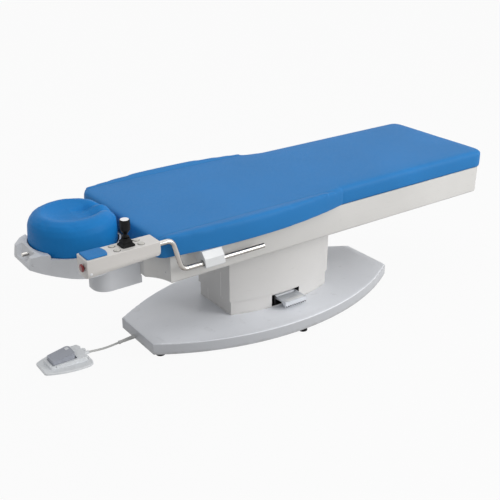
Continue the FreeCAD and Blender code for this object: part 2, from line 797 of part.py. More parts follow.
def head_cushion():
    """The round head cushion: a turned pad with a dished middle, flat towards the mattress."""
    r, top, low = CUSHION_RADIUS, CUSHION_TOP, CUSHION_BOTTOM
    c = CUSHION_ROUND
    s = c * math.sin(math.radians(45))
    crest = r - c
    a, b = V(0, 0, low), V(r, 0, low)
    edges = [
        Part.LineSegment(a, b).toShape(),
        Part.LineSegment(b, V(r, 0, top - c)).toShape(),
        Part.Arc(V(r, 0, top - c), V(crest + s, 0, top - c + s), V(crest, 0, top)).toShape(),
        Part.Arc(V(crest, 0, top), V(DISH_RADIUS / 2, 0, top - DISH_DEPTH * 0.75), V(DISH_FLAT, 0, top - DISH_DEPTH)).toShape(),
        Part.LineSegment(V(DISH_FLAT, 0, top - DISH_DEPTH), V(0, 0, top - DISH_DEPTH)).toShape(),
        Part.LineSegment(V(0, 0, top - DISH_DEPTH), a).toShape(),
    ]
    pad = Part.Face(Part.Wire(edges)).revolve(V(0, 0, 0), V(0, 0, 1), 360)
    pad.translate(V(HEAD_X, 0, 0))
    return pad.cut(block(CUSHION_FLAT_X, CUSHION_FLAT_X + 40, -200, 200, low - 1, top + 1))


def tray_radius():
    return CUSHION_RADIUS + TRAY_GAP + TRAY_WALL


def tray_outline():
    """The head tray in plan: round at the cushion, drawn out to a blunt nose at the head end."""
    r = tray_radius()
    dx, dy = TRAY_SHOULDER_X - HEAD_X, TRAY_SHOULDER_Y
    reach = math.hypot(dx, dy)
    angle = math.atan2(dy, dx) - math.acos(r / reach)
    tangent = (HEAD_X + r * math.cos(angle), r * math.sin(angle))
    flat_y = math.sqrt(r * r - (TRAY_FLAT_X - HEAD_X) ** 2)
    middle = (angle + math.atan2(flat_y, TRAY_FLAT_X - HEAD_X)) / 2
    crown = (HEAD_X + r * math.cos(middle), r * math.sin(middle))
    nose = (TRAY_NOSE_X, TRAY_NOSE_HALF)
    shoulder = (TRAY_SHOULDER_X, TRAY_SHOULDER_Y)
    flat = (TRAY_FLAT_X, flat_y)
    half = [(flat, crown, tangent), (tangent, shoulder), (shoulder, nose)]
    edges = [line_edge(nose, (nose[0], -nose[1])), line_edge((flat[0], -flat[1]), flat)]
    for side in (1, -1):
        for run in half:
            points = [(x, side * y) for x, y in run]
            edges.append(arc_edge(*points) if len(points) == 3 else line_edge(*points))
    return edges


def hull_cylinder(radius):
    """The curve of the tray's underside, seen from the side."""
    return rod(TRAY_BOTTOM_X, -400, TRAY_BOTTOM + TRAY_BOTTOM_RADIUS, radius, 800, (0, 1, 0))


def head_tray():
    """The moulded tray that holds the head cushion, with the handle pocket in its nose."""
    body = prism(tray_outline(), TRAY_BOTTOM - 10, TRAY_RIM)
    body = body.common(hull_cylinder(TRAY_BOTTOM_RADIUS))
    body = body.cut(block(TRAY_STEP_X, TRAY_FLAT_X + 50, -300, 300, TRAY_SIDE_RIM, TRAY_RIM + 1))
    x, top = TRAY_NOSE_X, TRAY_RIM + 1
    crest = HEAD_X - CUSHION_RADIUS - TRAY_GAP
    setback = side_prism([(x - 1, NOSE_LIP_Z), (x, NOSE_LIP_Z), (x + NOSE_SETBACK, NOSE_TOP_Z), (crest, TRAY_RIM),
                          (crest, top), (x - 1, top)], -150, 150)
    body = body.cut(setback)
    bowl = rod(HEAD_X, 0, CUSHION_BOTTOM, CUSHION_RADIUS + TRAY_GAP, 200)
    bowl = bowl.cut(block(TRAY_FLAT_X - 4, TRAY_FLAT_X + 100, -300, 300, CUSHION_BOTTOM - 1, 700))
    body = body.cut(bowl)
    mouth = end_prism([(-POCKET_HALF_LOW, POCKET_LOW), (POCKET_HALF_LOW, POCKET_LOW), (POCKET_HALF_HIGH, top),
                       (-POCKET_HALF_HIGH, top)], x - 5, x + 50)
    ramp = side_prism([(x - 5, POCKET_LOW), (x + RAMP_LOW, POCKET_LOW), (x + RAMP_HIGH, top), (x - 5, top)], -150, 150)
    depth = knob_end_x() + KNOB_STEM_LENGTH + 1 - x
    bore = rod(x, KNOB_PULL_Y, KNOB_PULL_Z, KNOB_STEM_RADIUS + PIN_GAP, depth, (1, 0, 0))
    return body.cut(mouth.common(ramp)).cut(bore)


def runner_angle_point(radius, degrees):
    """A point on the runner's arc, counted from straight down towards the head end."""
    a = math.radians(degrees)
    return V(TILT_X - radius * math.sin(a), 0, TILT_Z - radius * math.cos(a))


def runner_sector(inner, outer, start, end, thick, y):
    """A flat arc-shaped bar about the tilt centre."""
    middle = (start + end) / 2
    p = runner_angle_point
    edges = [
        Part.Arc(p(outer, start), p(outer, middle), p(outer, end)).toShape(),
        Part.LineSegment(p(outer, end), p(inner, end)).toShape(),
        Part.Arc(p(inner, end), p(inner, middle), p(inner, start)).toShape(),
        Part.LineSegment(p(inner, start), p(outer, start)).toShape(),
    ]
    face = Part.Face(Part.Wire(edges))
    face.translate(V(0, y - thick / 2, 0))
    return face.extrude(V(0, thick, 0))


def tilt_runners():
    """Two arc-shaped runners under the tray; they let it tilt about the neck."""
    under = hull_cylinder(TRAY_BOTTOM_RADIUS)
    runners = []
    for side in (-1, 1):
        bar = runner_sector(RUNNER_INNER, RUNNER_OUTER, RUNNER_START, RUNNER_END, RUNNER_THICK, side * RUNNER_Y)
        runners.append(bar.cut(under))
    return Part.makeCompound(runners)


def runner_guides():
    """The guide blocks in the head housing, each with an arc-shaped slot."""
    guides = []
    for side in (-1, 1):
        y = side * RUNNER_Y
        body = block(SLOT_BLOCK_HEAD_X, SLOT_BLOCK_FOOT_X, y - SLOT_BLOCK_SIDE, y + SLOT_BLOCK_SIDE,
                     BOX_BOTTOM + BOX_WALL, SLOT_BLOCK_TOP)
        slot = runner_sector(RUNNER_INNER - SLIDE_GAP, RUNNER_OUTER + SLIDE_GAP, 0, 75, RUNNER_THICK + 2 * SLIDE_GAP, y)
        guides.append(body.cut(slot))
    return Part.makeCompound(guides)


def housing_outline(inset):
    """The head housing in plan: rounded corners and a hollow towards the surgeon's knees."""
    x0, x1 = BOX_HEAD_X + inset, BOX_FRAME_X - inset
    y, r = BOX_HALF_WIDTH - inset, BOX_CORNER - inset
    s = r * math.sin(math.radians(45))
    half = y - r
    return [
        line_edge((x1, -y), (x1, y)),
        line_edge((x1, y), (x0 + r, y)),
        arc_edge((x0 + r, y), (x0 + r - s, half + s), (x0, half)),
        line_edge((x0, half), (x0, BOX_HOLLOW_HALF)),
        arc_edge((x0, BOX_HOLLOW_HALF), (x0 + BOX_HOLLOW, 0.0), (x0, -BOX_HOLLOW_HALF)),
        line_edge((x0, -BOX_HOLLOW_HALF), (x0, -half)),
        arc_edge((x0, -half), (x0 + r - s, -half - s), (x0 + r, -y)),
        line_edge((x0 + r, -y), (x1, -y)),
    ]


def head_housing():
    """The housing under the head tray, open on top for the runners."""
    top = TRAY_BOTTOM + 30
    box = prism(housing_outline(0), BOX_BOTTOM, top).cut(prism(housing_outline(BOX_WALL), BOX_BOTTOM + BOX_WALL, top))
    box = box.cut(hull_cylinder(TRAY_BOTTOM_RADIUS + SLIDE_GAP))
    return box.cut(prism(casing_outline(0), CASING_BOTTOM, 600))


def knob_end_x():
    """The foot-side end of the knob at rest, short of the ramp behind it."""
    share = (KNOB_PULL_Z - POCKET_LOW) / (TRAY_RIM + 1 - POCKET_LOW)
    return TRAY_NOSE_X + RAMP_LOW + share * (RAMP_HIGH - RAMP_LOW) - KNOB_PULL_SET


def release_knob():
    """The bright knob in the nose pocket that is pulled to free the head tilt, with its stem."""
    x1 = knob_end_x()
    x0 = x1 - KNOB_PULL_LENGTH
    knob = rod(x0, KNOB_PULL_Y, KNOB_PULL_Z, KNOB_PULL_RADIUS, KNOB_PULL_LENGTH, (1, 0, 0))
    knob = knob.makeFillet(1.5, [e for e in knob.Edges if near(e.Length, 2 * math.pi * KNOB_PULL_RADIUS)])
    return joined([knob, rod(x1, KNOB_PULL_Y, KNOB_PULL_Z, KNOB_STEM_RADIUS, KNOB_STEM_LENGTH, (1, 0, 0))])


# Console arm

def clamp_bore():
    return TUBE_RADIUS + BUSH_WALL + 2 * PIN_GAP


def clamp_block():
    """The clamp on the casing's side: it comes out from under the mattress and holds the tube."""
    face = TUBE_Y - TUBE_RADIUS - BUSH_WALL - 8
    head, foot, slant = CLAMP_HEAD_X, CLAMP_FOOT_X, CLAMP_SLANT
    side = end_prism([(-TOP_HALF_WIDTH, CLAMP_TOP), (face + 14, CLAMP_TOP), (face, CLAMP_TOP - 26), (face, CLAMP_BOTTOM + 5),
                      (face + 5, CLAMP_BOTTOM), (-TOP_HALF_WIDTH, CLAMP_BOTTOM)], head - 1, foot + slant + 1)
    front = side_prism([(head, CLAMP_TOP), (foot, CLAMP_TOP), (foot + slant, CLAMP_BOTTOM), (head + slant, CLAMP_BOTTOM)],
                       face - 1, -TOP_HALF_WIDTH + 1)
    bore = rod(head - 1, TUBE_Y, TUBE_LOW_Z, clamp_bore(), foot - head + slant + 2, (1, 0, 0))
    return side.common(front).cut(bore)


def clamp_bush():
    """The split bush in the clamp; it turns in the block and the tube slides in it."""
    x0, x1 = CLAMP_HEAD_X + CLAMP_SLANT, CLAMP_FOOT_X + 1
    outer = TUBE_RADIUS + PIN_GAP + BUSH_WALL
    bush = rod(x0, TUBE_Y, TUBE_LOW_Z, outer, x1 - x0, (1, 0, 0))
    return bush.cut(rod(x0, TUBE_Y, TUBE_LOW_Z, TUBE_RADIUS + PIN_GAP, x1 - x0, (1, 0, 0)))


def bent_wire(points, radius_of):
    """A wire of straight runs joined by tangent arcs."""
    corners = [V(*p) for p in points]
    edges = []
    start = corners[0]
    for before, corner, after in zip(corners, corners[1:], corners[2:]):
        a = (corner - before).normalize()
        b = (after - corner).normalize()
        half_turn = a.getAngle(b) / 2
        shorter = min(before.distanceToPoint(corner), corner.distanceToPoint(after))
        radius = radius_of(shorter, half_turn)
        back = radius * math.tan(half_turn)
        first, last = corner - a * back, corner + b * back
        inward = (b - a).normalize()
        centre = corner + inward * (radius / math.cos(half_turn))
        edges.append(Part.LineSegment(start, first).toShape())
        edges.append(Part.Arc(first, centre - inward * radius, last).toShape())
        start = last
    edges.append(Part.LineSegment(start, corners[-1]).toShape())
    return Part.Wire(edges)


def swept(wire, radius):
    """A round bar along a wire."""
    start = wire.Edges[0].valueAt(wire.Edges[0].FirstParameter)
    along = wire.Edges[0].tangentAt(wire.Edges[0].FirstParameter)
    ring = Part.Wire(Part.Circle(start, along, radius).toShape())
    return wire.makePipeShell([ring], True, False)


def tube_path():
    y = TUBE_Y
    return [(CONSOLE_FOOT_X - 40, y, TUBE_HIGH_Z), (TUBE_RISE_HIGH_X, y, TUBE_HIGH_Z),
            (TUBE_RISE_LOW_X, y, TUBE_LOW_Z), (TUBE_END_X, y, TUBE_LOW_Z)]


def console_tube():
    """The bent steel tube from the clamp up to the console, plugged at its free end."""
    wire = bent_wire(tube_path(), lambda run, turn: TUBE_BEND)
    tube = swept(wire, TUBE_RADIUS).cut(swept(wire, TUBE_RADIUS - TUBE_WALL))
    plug = rod(TUBE_END_X - 12, TUBE_Y, TUBE_LOW_Z, TUBE_RADIUS - TUBE_WALL, 12, (1, 0, 0))
    cap = rod(TUBE_END_X, TUBE_Y, TUBE_LOW_Z, TUBE_RADIUS, 1.5, (1, 0, 0))
    return joined([tube, plug, cap])


def console_section(x, height, inset, top):
    """One section of the console: flat on top, well rounded below."""
    y0, y1 = CONSOLE_Y - CONSOLE_WIDTH / 2 + inset, CONSOLE_Y + CONSOLE_WIDTH / 2 - inset
    low = CONSOLE_TOP - height + inset
    r = CONSOLE_ROUND - inset
    s = r * (1 - math.sin(math.radians(45)))
    def p(y, z):
        return V(x, y, z)
    edges = [
        Part.LineSegment(p(y0, top), p(y0, low + r)).toShape(),
        Part.Arc(p(y0, low + r), p(y0 + s, low + s), p(y0 + r, low)).toShape(),
        Part.LineSegment(p(y0 + r, low), p(y1 - r, low)).toShape(),
        Part.Arc(p(y1 - r, low), p(y1 - s, low + s), p(y1, low + r)).toShape(),
        Part.LineSegment(p(y1, low + r), p(y1, top)).toShape(),
        Part.LineSegment(p(y1, top), p(y0, top)).toShape(),
    ]
    return Part.Wire(edges)


def console_loft(inset, top):
    head = console_section(CONSOLE_HEAD_X + inset, CONSOLE_HEAD_HEIGHT, inset, top)
    foot = console_section(CONSOLE_FOOT_X - inset, CONSOLE_FOOT_HEIGHT, inset, top)
    return Part.makeLoft([head, foot], True, True)


def console_body():
    """The console's trough: deeper at the head end, with bores for the tube and the stop button."""
    seam = CONSOLE_TOP - LID_THICK
    body = console_loft(0, seam)
    body = body.makeFillet(CONSOLE_TOP_ROUND, vertical_edges(body))
    body = body.cut(console_loft(CONSOLE_WALL, seam))
    bore = rod(CONSOLE_FOOT_X - 60, TUBE_Y, TUBE_HIGH_Z, TUBE_RADIUS, 100, (1, 0, 0))
    stop = rod(CONSOLE_HEAD_X - 1, STOP_Y, STOP_Z, 6.0 + SLIDE_GAP, 10, (1, 0, 0))
    boss = block(CONSOLE_FOOT_X - 30, CONSOLE_FOOT_X - CONSOLE_WALL, TUBE_Y - 14, TUBE_Y + 14, seam - 34, seam)
    return joined([body, boss]).cut(bore).cut(stop)


def button_spots():
    return [(x, CONSOLE_Y + y) for x, y in BUTTON_SPOTS]


def console_lid():
    """The console's top plate, with openings for the buttons and the joystick."""
    low = CONSOLE_TOP - LID_THICK
    half = CONSOLE_WIDTH / 2
    lid = block(CONSOLE_HEAD_X, CONSOLE_FOOT_X, CONSOLE_Y - half, CONSOLE_Y + half, low, CONSOLE_TOP)
    lid = lid.makeFillet(CONSOLE_TOP_ROUND, vertical_edges(lid))
    lid = lid.makeFillet(2.0, edges_where(lid, lambda p: near(p.z, CONSOLE_TOP)))
    for x, y in button_spots():
        lid = lid.cut(rod(x, y, low, BUTTON_RADIUS + SLIDE_GAP, LID_THICK))
    z = stick_pivot_z()
    reach = STICK_WELL + 4
    frame = block(STICK_X - reach, STICK_X + reach, STICK_Y - reach, STICK_Y + reach, z - 8, low)
    lid = joined([lid, frame]).cut(rod(STICK_X, STICK_Y, z - 8, STICK_WELL, 40))
    return lid.cut(rod(STICK_X - 30, STICK_Y, z, 2.0 + PIN_GAP, 60, (1, 0, 0)))


def console_button(x, y):
    """A push button: a cap in the lid and the flange that keeps it in."""
    low = CONSOLE_TOP - LID_THICK
    flange = rod(x, y, low - 2.0 - SLIDE_GAP, BUTTON_WELL, 2.0)
    cap = rod(x, y, low - SLIDE_GAP, BUTTON_RADIUS, LID_THICK + SLIDE_GAP + BUTTON_HEIGHT)
    button = joined([cap, flange])
    top = CONSOLE_TOP + BUTTON_HEIGHT
    return button.makeFillet(1.0, [e for e in button.Edges if near(e.CenterOfMass.z, top) and e.Length > 1])


def arm_pad():
    """The thin pad on the console's head end, with a bowed inner end."""
    half = CONSOLE_WIDTH / 2 - PAD_MARGIN
    x0, x1 = CONSOLE_HEAD_X + PAD_MARGIN, PAD_FOOT_X
    edges = [
        line_edge((x0, CONSOLE_Y - half), (x1, CONSOLE_Y - half)),
        arc_edge((x1, CONSOLE_Y - half), (x1 + PAD_BOW, CONSOLE_Y), (x1, CONSOLE_Y + half)),
        line_edge((x1, CONSOLE_Y + half), (x0, CONSOLE_Y + half)),
        line_edge((x0, CONSOLE_Y + half), (x0, CONSOLE_Y - half)),
    ]
    pad = prism(edges, CONSOLE_TOP, CONSOLE_TOP + PAD_THICK)
    pad = pad.makeFillet(6.0, [e for e in vertical_edges(pad) if near(e.Vertexes[0].Point.x, x0)])
    return pad.makeFillet(2.0, edges_where(pad, lambda p: near(p.z, CONSOLE_TOP + PAD_THICK)))


def stop_button():
    """The red button on the console's head end, with its stem through the wall."""
    x = CONSOLE_HEAD_X - STOP_TRAVEL - 0.5
    head = rod(x - STOP_HEIGHT, STOP_Y, STOP_Z, STOP_RADIUS, STOP_HEIGHT, (1, 0, 0))
    head = head.makeFillet(3.0, [e for e in head.Edges if near(e.CenterOfMass.x, x - STOP_HEIGHT)])
    stem = rod(x, STOP_Y, STOP_Z, 6.0, STOP_TRAVEL + 0.5 + CONSOLE_WALL + 2, (1, 0, 0))
    clip = rod(CONSOLE_HEAD_X + CONSOLE_WALL + SLIDE_GAP, STOP_Y, STOP_Z, 8.0, 2.0, (1, 0, 0))
    return joined([head, stem, clip])


def stick_pivot_z():
    return CONSOLE_TOP - STICK_PIVOT


def joystick_gimbal():
    """The ring between the joystick's two axes."""
    z = stick_pivot_z()
    ring = rod(STICK_X, STICK_Y, z - 4, 17.0, 8).cut(rod(STICK_X, STICK_Y, z - 4, 13.0, 8))
    for side in (-1, 1):
        x0 = STICK_X + 15 if side > 0 else STICK_X - 23
        ring = ring.fuse(rod(x0, STICK_Y, z, 2.0, 8, (1, 0, 0)))
    ring = ring.cut(rod(STICK_X, STICK_Y - 30, z, 2.0 + PIN_GAP, 60, (0, 1, 0)))
    return ring.removeSplitter()


def turned(points, x, y):
    """A solid of revolution about a vertical line, from radius and height pairs."""
    profile = [V(r, 0, z) for r, z in points]
    shape = Part.Face(Part.makePolygon(profile + profile[:1])).revolve(V(0, 0, 0), V(0, 0, 1), 360)
    shape.translate(V(x, y, 0))
    return shape


def joystick():
    """The stick with its cross pin and the waisted knob."""
    z, top = stick_pivot_z(), CONSOLE_TOP
    shaft = rod(STICK_X, STICK_Y, z - 6, STICK_RADIUS, STICK_PIVOT + 6 + KNOB_LOW)
    pin = rod(STICK_X, STICK_Y - 16.5, z, 2.0, 33, (0, 1, 0))
    knob = turned([(0, top + KNOB_LOW), (9, top + KNOB_LOW), (12, top + KNOB_LOW + 5), (KNOB_RADIUS - 1, top + KNOB_LOW + 13),
                   (KNOB_RADIUS, top + KNOB_TOP - 18), (KNOB_RADIUS - 1, top + KNOB_TOP - 2),
                   (KNOB_RADIUS - 3, top + KNOB_TOP), (0, top + KNOB_TOP)], STICK_X, STICK_Y)
    return joined([shaft, pin, knob])


def knob_disc():
    """The bright disc on the knob."""
    return rod(STICK_X, STICK_Y, CONSOLE_TOP + KNOB_TOP, KNOB_RADIUS - 4, 1.5)


def joystick_boot():
    """The rubber boot: a square foot and a hollow cone that the stick swings in."""
    half = BOOT_BASE / 2
    def section(side, z):
        r = side * 0.25
        square = block(STICK_X - side, STICK_X + side, STICK_Y - side, STICK_Y + side, z, z + 1)
        square = square.makeFillet(r, vertical_edges(square))
        face = [f for f in square.Faces if near(f.CenterOfMass.z, z)][0]
        return face.OuterWire
    low = CONSOLE_TOP
    foot = block(STICK_X - half, STICK_X + half, STICK_Y - half, STICK_Y + half, low, low + BOOT_PLATE)
    foot = foot.makeFillet(5.0, vertical_edges(foot))
    cone = Part.makeLoft([section(half - 3, low + BOOT_PLATE), section(BOOT_TOP_RADIUS, low + BOOT_HEIGHT)], True, True)
    hollow = Part.makeCone(19.0, BOOT_TOP_RADIUS - BOOT_WALL, BOOT_HEIGHT, V(STICK_X, STICK_Y, low))
    return joined([foot, cone]).cut(hollow)


# Castor pedal

def pedal_hinge_z():
    return PEDAL_Z - 7.0


def castor_pedal():
    """The tread with its front lip, two arms and the hinge tube."""
    z, low = PEDAL_Z, PEDAL_Z - PEDAL_THICK
    hinge = pedal_hinge_z()
    tread = block(PEDAL_X0, PEDAL_X1, PEDAL_FRONT_Y, PEDAL_BACK_Y, low, z)
    lip = block(PEDAL_X0, PEDAL_X1, PEDAL_FRONT_Y, PEDAL_FRONT_Y + PEDAL_THICK, z - PEDAL_LIP, z)
    parts = [tread, lip]
    for x in (PEDAL_X0, PEDAL_X1 - 5):
        parts.append(end_prism([(PEDAL_FRONT_Y, z - PEDAL_LIP), (PEDAL_FRONT_Y, z), (PEDAL_HINGE_Y, z),
                                (PEDAL_HINGE_Y, hinge - 6), (PEDAL_FRONT_Y + 30, low - 4)], x, x + 5))
    parts.append(rod(PEDAL_X0, PEDAL_HINGE_Y, hinge, PEDAL_PIN_RADIUS + 4, PEDAL_X1 - PEDAL_X0, (1, 0, 0)))
    pedal = joined(parts)
    return pedal.cut(rod(PEDAL_X0, PEDAL_HINGE_Y, hinge, PEDAL_PIN_RADIUS + PIN_GAP, PEDAL_X1 - PEDAL_X0, (1, 0, 0)))


def pedal_studs():
    """The row of rubber studs along the pedal's front lip."""
    count = 10
    pitch = (PEDAL_X1 - PEDAL_X0) / count
    z = PEDAL_Z - PEDAL_LIP
    studs = [rod(PEDAL_X0 + pitch * (i + 0.5), PEDAL_FRONT_Y - 2, z + 3.5, 2.6, 2, (0, 1, 0)) for i in range(count)]
    return Part.makeCompound(studs)


def pedal_well():
    """The black well behind the pedal's opening, with the cheeks that hold the hinge pin."""
    x0, x1 = RECESS_X0 - 2, RECESS_X1 + 2
    outer = block(x0, x1, -200, -108, BASE_TOP, RECESS_HIGH + 2)
    inner = block(x0 + 2, x1 - 2, -200, -110, BASE_TOP + 2, RECESS_HIGH)
    well = outer.cut(inner)
    for x in (PEDAL_X0 - 8, PEDAL_X1 + 1):
        well = well.fuse(block(x, x + 7, -142, -110, BASE_TOP, pedal_hinge_z() + 10))
    well = well.cut(rod(PEDAL_X0 - 8, PEDAL_HINGE_Y, pedal_hinge_z(), PEDAL_PIN_RADIUS, PEDAL_X1 - PEDAL_X0 + 16, (1, 0, 0)))
    return well.common(prism(column_outline(-COVER_WALL), BASE_TOP, RECESS_HIGH + 2)).removeSplitter()


# Foot switch

def switch_outline():
    """The foot switch's skirt in plan: narrow at the heel, wide at the toe, with bowed sides."""
    x0, xm, x1 = SWITCH_HEEL_X, SWITCH_HEEL_X + SWITCH_MIDDLE, SWITCH_TOE_X
    y, a, m, b = SWITCH_Y, SWITCH_HALF_HEEL, SWITCH_HALF_MIDDLE, SWITCH_HALF_TOE
    return [
        line_edge((x0, y - a), (x0, y + a)),
        arc_edge((x0, y + a), (xm, y + m), (x1, y + b)),
        line_edge((x1, y + b), (x1, y - b)),
        arc_edge((x1, y - b), (xm, y - m), (x0, y - a)),
    ]


def wedge(x0, x1, half0, half1, low, high):
    """A prism about the foot switch's middle line, as wide as its two ends say."""
    y = SWITCH_Y
    return prism(polygon([(x0, y - half0), (x1, y - half1), (x1, y + half1), (x0, y + half0)]), low, high)


def foot_switch_housing():
    """The foot switch's housing: a flared skirt, a raised tier with a bay for the tread, and two lobes at the toe."""
    skirt = prism(switch_outline(), SWITCH_PAD, SKIRT_TOP)
    toe = [e for e in vertical_edges(skirt) if near(e.Vertexes[0].Point.x, SWITCH_TOE_X)]
    skirt = skirt.makeFillet(SWITCH_TOE_CORNER, toe)
    heel = [e for e in vertical_edges(skirt) if near(e.Vertexes[0].Point.x, SWITCH_HEEL_X)]
    skirt = skirt.makeFillet(SWITCH_HEEL_CORNER, heel)
    skirt = skirt.makeFillet(SKIRT_EDGE, [e for e in skirt.Edges if all(near(v.Point.z, SKIRT_TOP) for v in e.Vertexes)])
    x0, x1 = SWITCH_HEEL_X + TIER_SETBACK, SWITCH_TOE_X - TIER_TOE_GAP
    tier = wedge(x0, x1, TIER_HALF_HEEL, TIER_HALF_TOE, SWITCH_PAD, TIER_TOE_Z)
    tier = tier.makeFillet(TIER_CORNER, vertical_edges(tier))
    tier = tier.cut(side_prism([(x0, TIER_HEEL_Z), (x1, TIER_TOE_Z), (x0, TIER_TOE_Z)], -100, 200))
    shapes = [skirt, tier]
    for x, y, radius in LOBES:
        lobe = rod(SWITCH_TOE_X + x, SWITCH_Y + y, SWITCH_PAD, radius, LOBE_TOP - SWITCH_PAD)
        shapes.append(lobe.makeFillet(LOBE_EDGE, [e for e in lobe.Edges if near(e.CenterOfMass.z, LOBE_TOP)]))
    gland = CORD_ROUTE[0]
    shapes.append(rod(SWITCH_TOE_X - 20, gland[1], gland[2], CORD_RADIUS + 2.5, GLAND_LENGTH + 20, (1, 0, 0)))
    bay = wedge(TREAD_HEEL_X - TREAD_GAP, TREAD_TOE_X + TREAD_TOE_GAP, TREAD_HALF_HEEL + TREAD_GAP, TREAD_HALF_TOE + TREAD_GAP,
                BAY_FLOOR, 90)
    x, z = tread_pin()
    half = TIER_HALF_TOE
    return joined(shapes).cut(bay).cut(rod(x, SWITCH_Y - half, z, TREAD_PIN_RADIUS, 2 * half, (0, 1, 0)))


def tread_pin():
    """Where the tread turns, near its heel."""
    return TREAD_HEEL_X + TREAD_PIN_BACK, TREAD_PIN_Z


def hinge_pins():
    """The pins of the castor pedal and of the foot switch's tread."""
    x, z = tread_pin()
    half = TREAD_HALF_HEEL + TREAD_GAP + 5
    pedal = rod(PEDAL_X0 - 8, PEDAL_HINGE_Y, pedal_hinge_z(), PEDAL_PIN_RADIUS, PEDAL_X1 - PEDAL_X0 + 16, (1, 0, 0))
    return Part.makeCompound([pedal, rod(x, SWITCH_Y - half, z, TREAD_PIN_RADIUS, 2 * half, (0, 1, 0))])


def foot_switch_tread():
    """The tread, hinged at the heel and pressed at the toe."""
    x, z = tread_pin()
    x0, x1 = TREAD_HEEL_X, TREAD_TOE_X
    plate = wedge(x0, x1, TREAD_HALF_HEEL, TREAD_HALF_TOE, 0, 90)
    toe = [e for e in vertical_edges(plate) if near(e.Vertexes[0].Point.x, x1)]
    plate = plate.makeFillet(TREAD_TOE_CORNER, toe)
    heel = [e for e in vertical_edges(plate) if near(e.Vertexes[0].Point.x, x0)]
    plate = plate.makeFillet(TREAD_HEEL_CORNER, heel)
    side = side_prism([(x0, TREAD_HEEL_Z), (x1, TREAD_TOE_Z), (x1, TREAD_TOE_LOW), (x0, TREAD_HEEL_LOW)], -100, 200)
    return plate.common(side).cut(rod(x, SWITCH_Y - 60, z, TREAD_PIN_RADIUS + PIN_GAP, 120, (0, 1, 0)))


def switch_pad_spots():
    """Where the foot switch stands: two pads at its heel and two at its toe."""
    heel, toe = SWITCH_HEEL_X + 22, SWITCH_TOE_X - 24
    return [(x, SWITCH_Y + s * y) for x, y in ((heel, 28), (toe, 56)) for s in (-1, 1)]


def foot_switch_cord():
    """The cord from the foot switch to the base."""
    wire = bent_wire(CORD_ROUTE, lambda run, turn: 0.45 * run / math.tan(turn))
    return swept(wire, CORD_RADIUS)


def cord_relief():
    """The tapered strain relief between the cord and the end of the base."""
    a, b = V(*CORD_ROUTE[-1]), V(*RELIEF_END)
    along = b - a
    length = along.Length
    taper = Part.makeCone(CORD_RADIUS + 1.5, RELIEF_RADIUS, length + 3, a, along)
    collar = Part.makeCylinder(CORD_RADIUS + 3, 8, a, along)
    relief = joined([taper, collar])
    return relief.cut(block(RELIEF_END[0], RELIEF_END[0] + 20, -50, 100, 0, 90))


SINGLE = {
    "base_housing": base_housing,
    "base_plate": base_plate,
    "foot_pads": foot_pads,
    "foot_screws": foot_screws,
    "hinge_pins": hinge_pins,
    "castor_carriage": castor_carriage,
    "carriage_guides": carriage_guides,
    "cover_lower": cover_lower,
    "cover_middle": cover_middle,
    "cover_upper": cover_upper,
    "mast_lower": mast_lower,
    "mast_middle": mast_middle,
    "mast_upper": mast_upper,
    "spindle_lower": spindle_lower,
    "spindle_middle": spindle_middle,
    "spindle_rod": spindle_rod,
    "column_head": column_head,
    "tilt_shaft": tilt_shaft,
    "top_frame": top_frame,
    "tilt_motor": tilt_motor,
    "side_casing": side_casing,
    "casing_brackets": casing_brackets,
    "mattress": mattress,
    "mattress_board": mattress_board,
    "head_cushion": head_cushion,
    "head_tray": head_tray,
    "tilt_runners": tilt_runners,
    "runner_guides": runner_guides,
    "head_housing": head_housing,
    "release_knob": release_knob,
    "clamp_block": clamp_block,
    "clamp_bush": clamp_bush,
    "console_tube": console_tube,
    "console_body": console_body,
    "console_lid": console_lid,
    "arm_pad": arm_pad,
    "stop_button": stop_button,
    "joystick_gimbal": joystick_gimbal,
    "joystick": joystick,
    "joystick_boot": joystick_boot,
    "knob_disc": knob_disc,
    "castor_pedal": castor_pedal,
    "pedal_studs": pedal_studs,
    "pedal_well": pedal_well,
    "foot_switch_housing": foot_switch_housing,
    "foot_switch_tread": foot_switch_tread,
    "foot_switch_cord": foot_switch_cord,
    "cord_relief": cord_relief,
}

os.makedirs("parts", exist_ok=True)
for name, make in SINGLE.items():
    save(name, make())
for number, (x, y) in enumerate(castor_spots(), 1):
    save("castor_fork_" + str(number), castor_fork(x, y))
    save("castor_wheels_" + str(number), castor_wheel(x, y))
for number, (x, y) in enumerate(button_spots(), 1):
    save("push_button_" + str(number), console_button(x, y))
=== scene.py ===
import json
import math

import bmesh
import bpy
from mathutils import Matrix, Vector
from mathutils.bvhtree import BVHTree

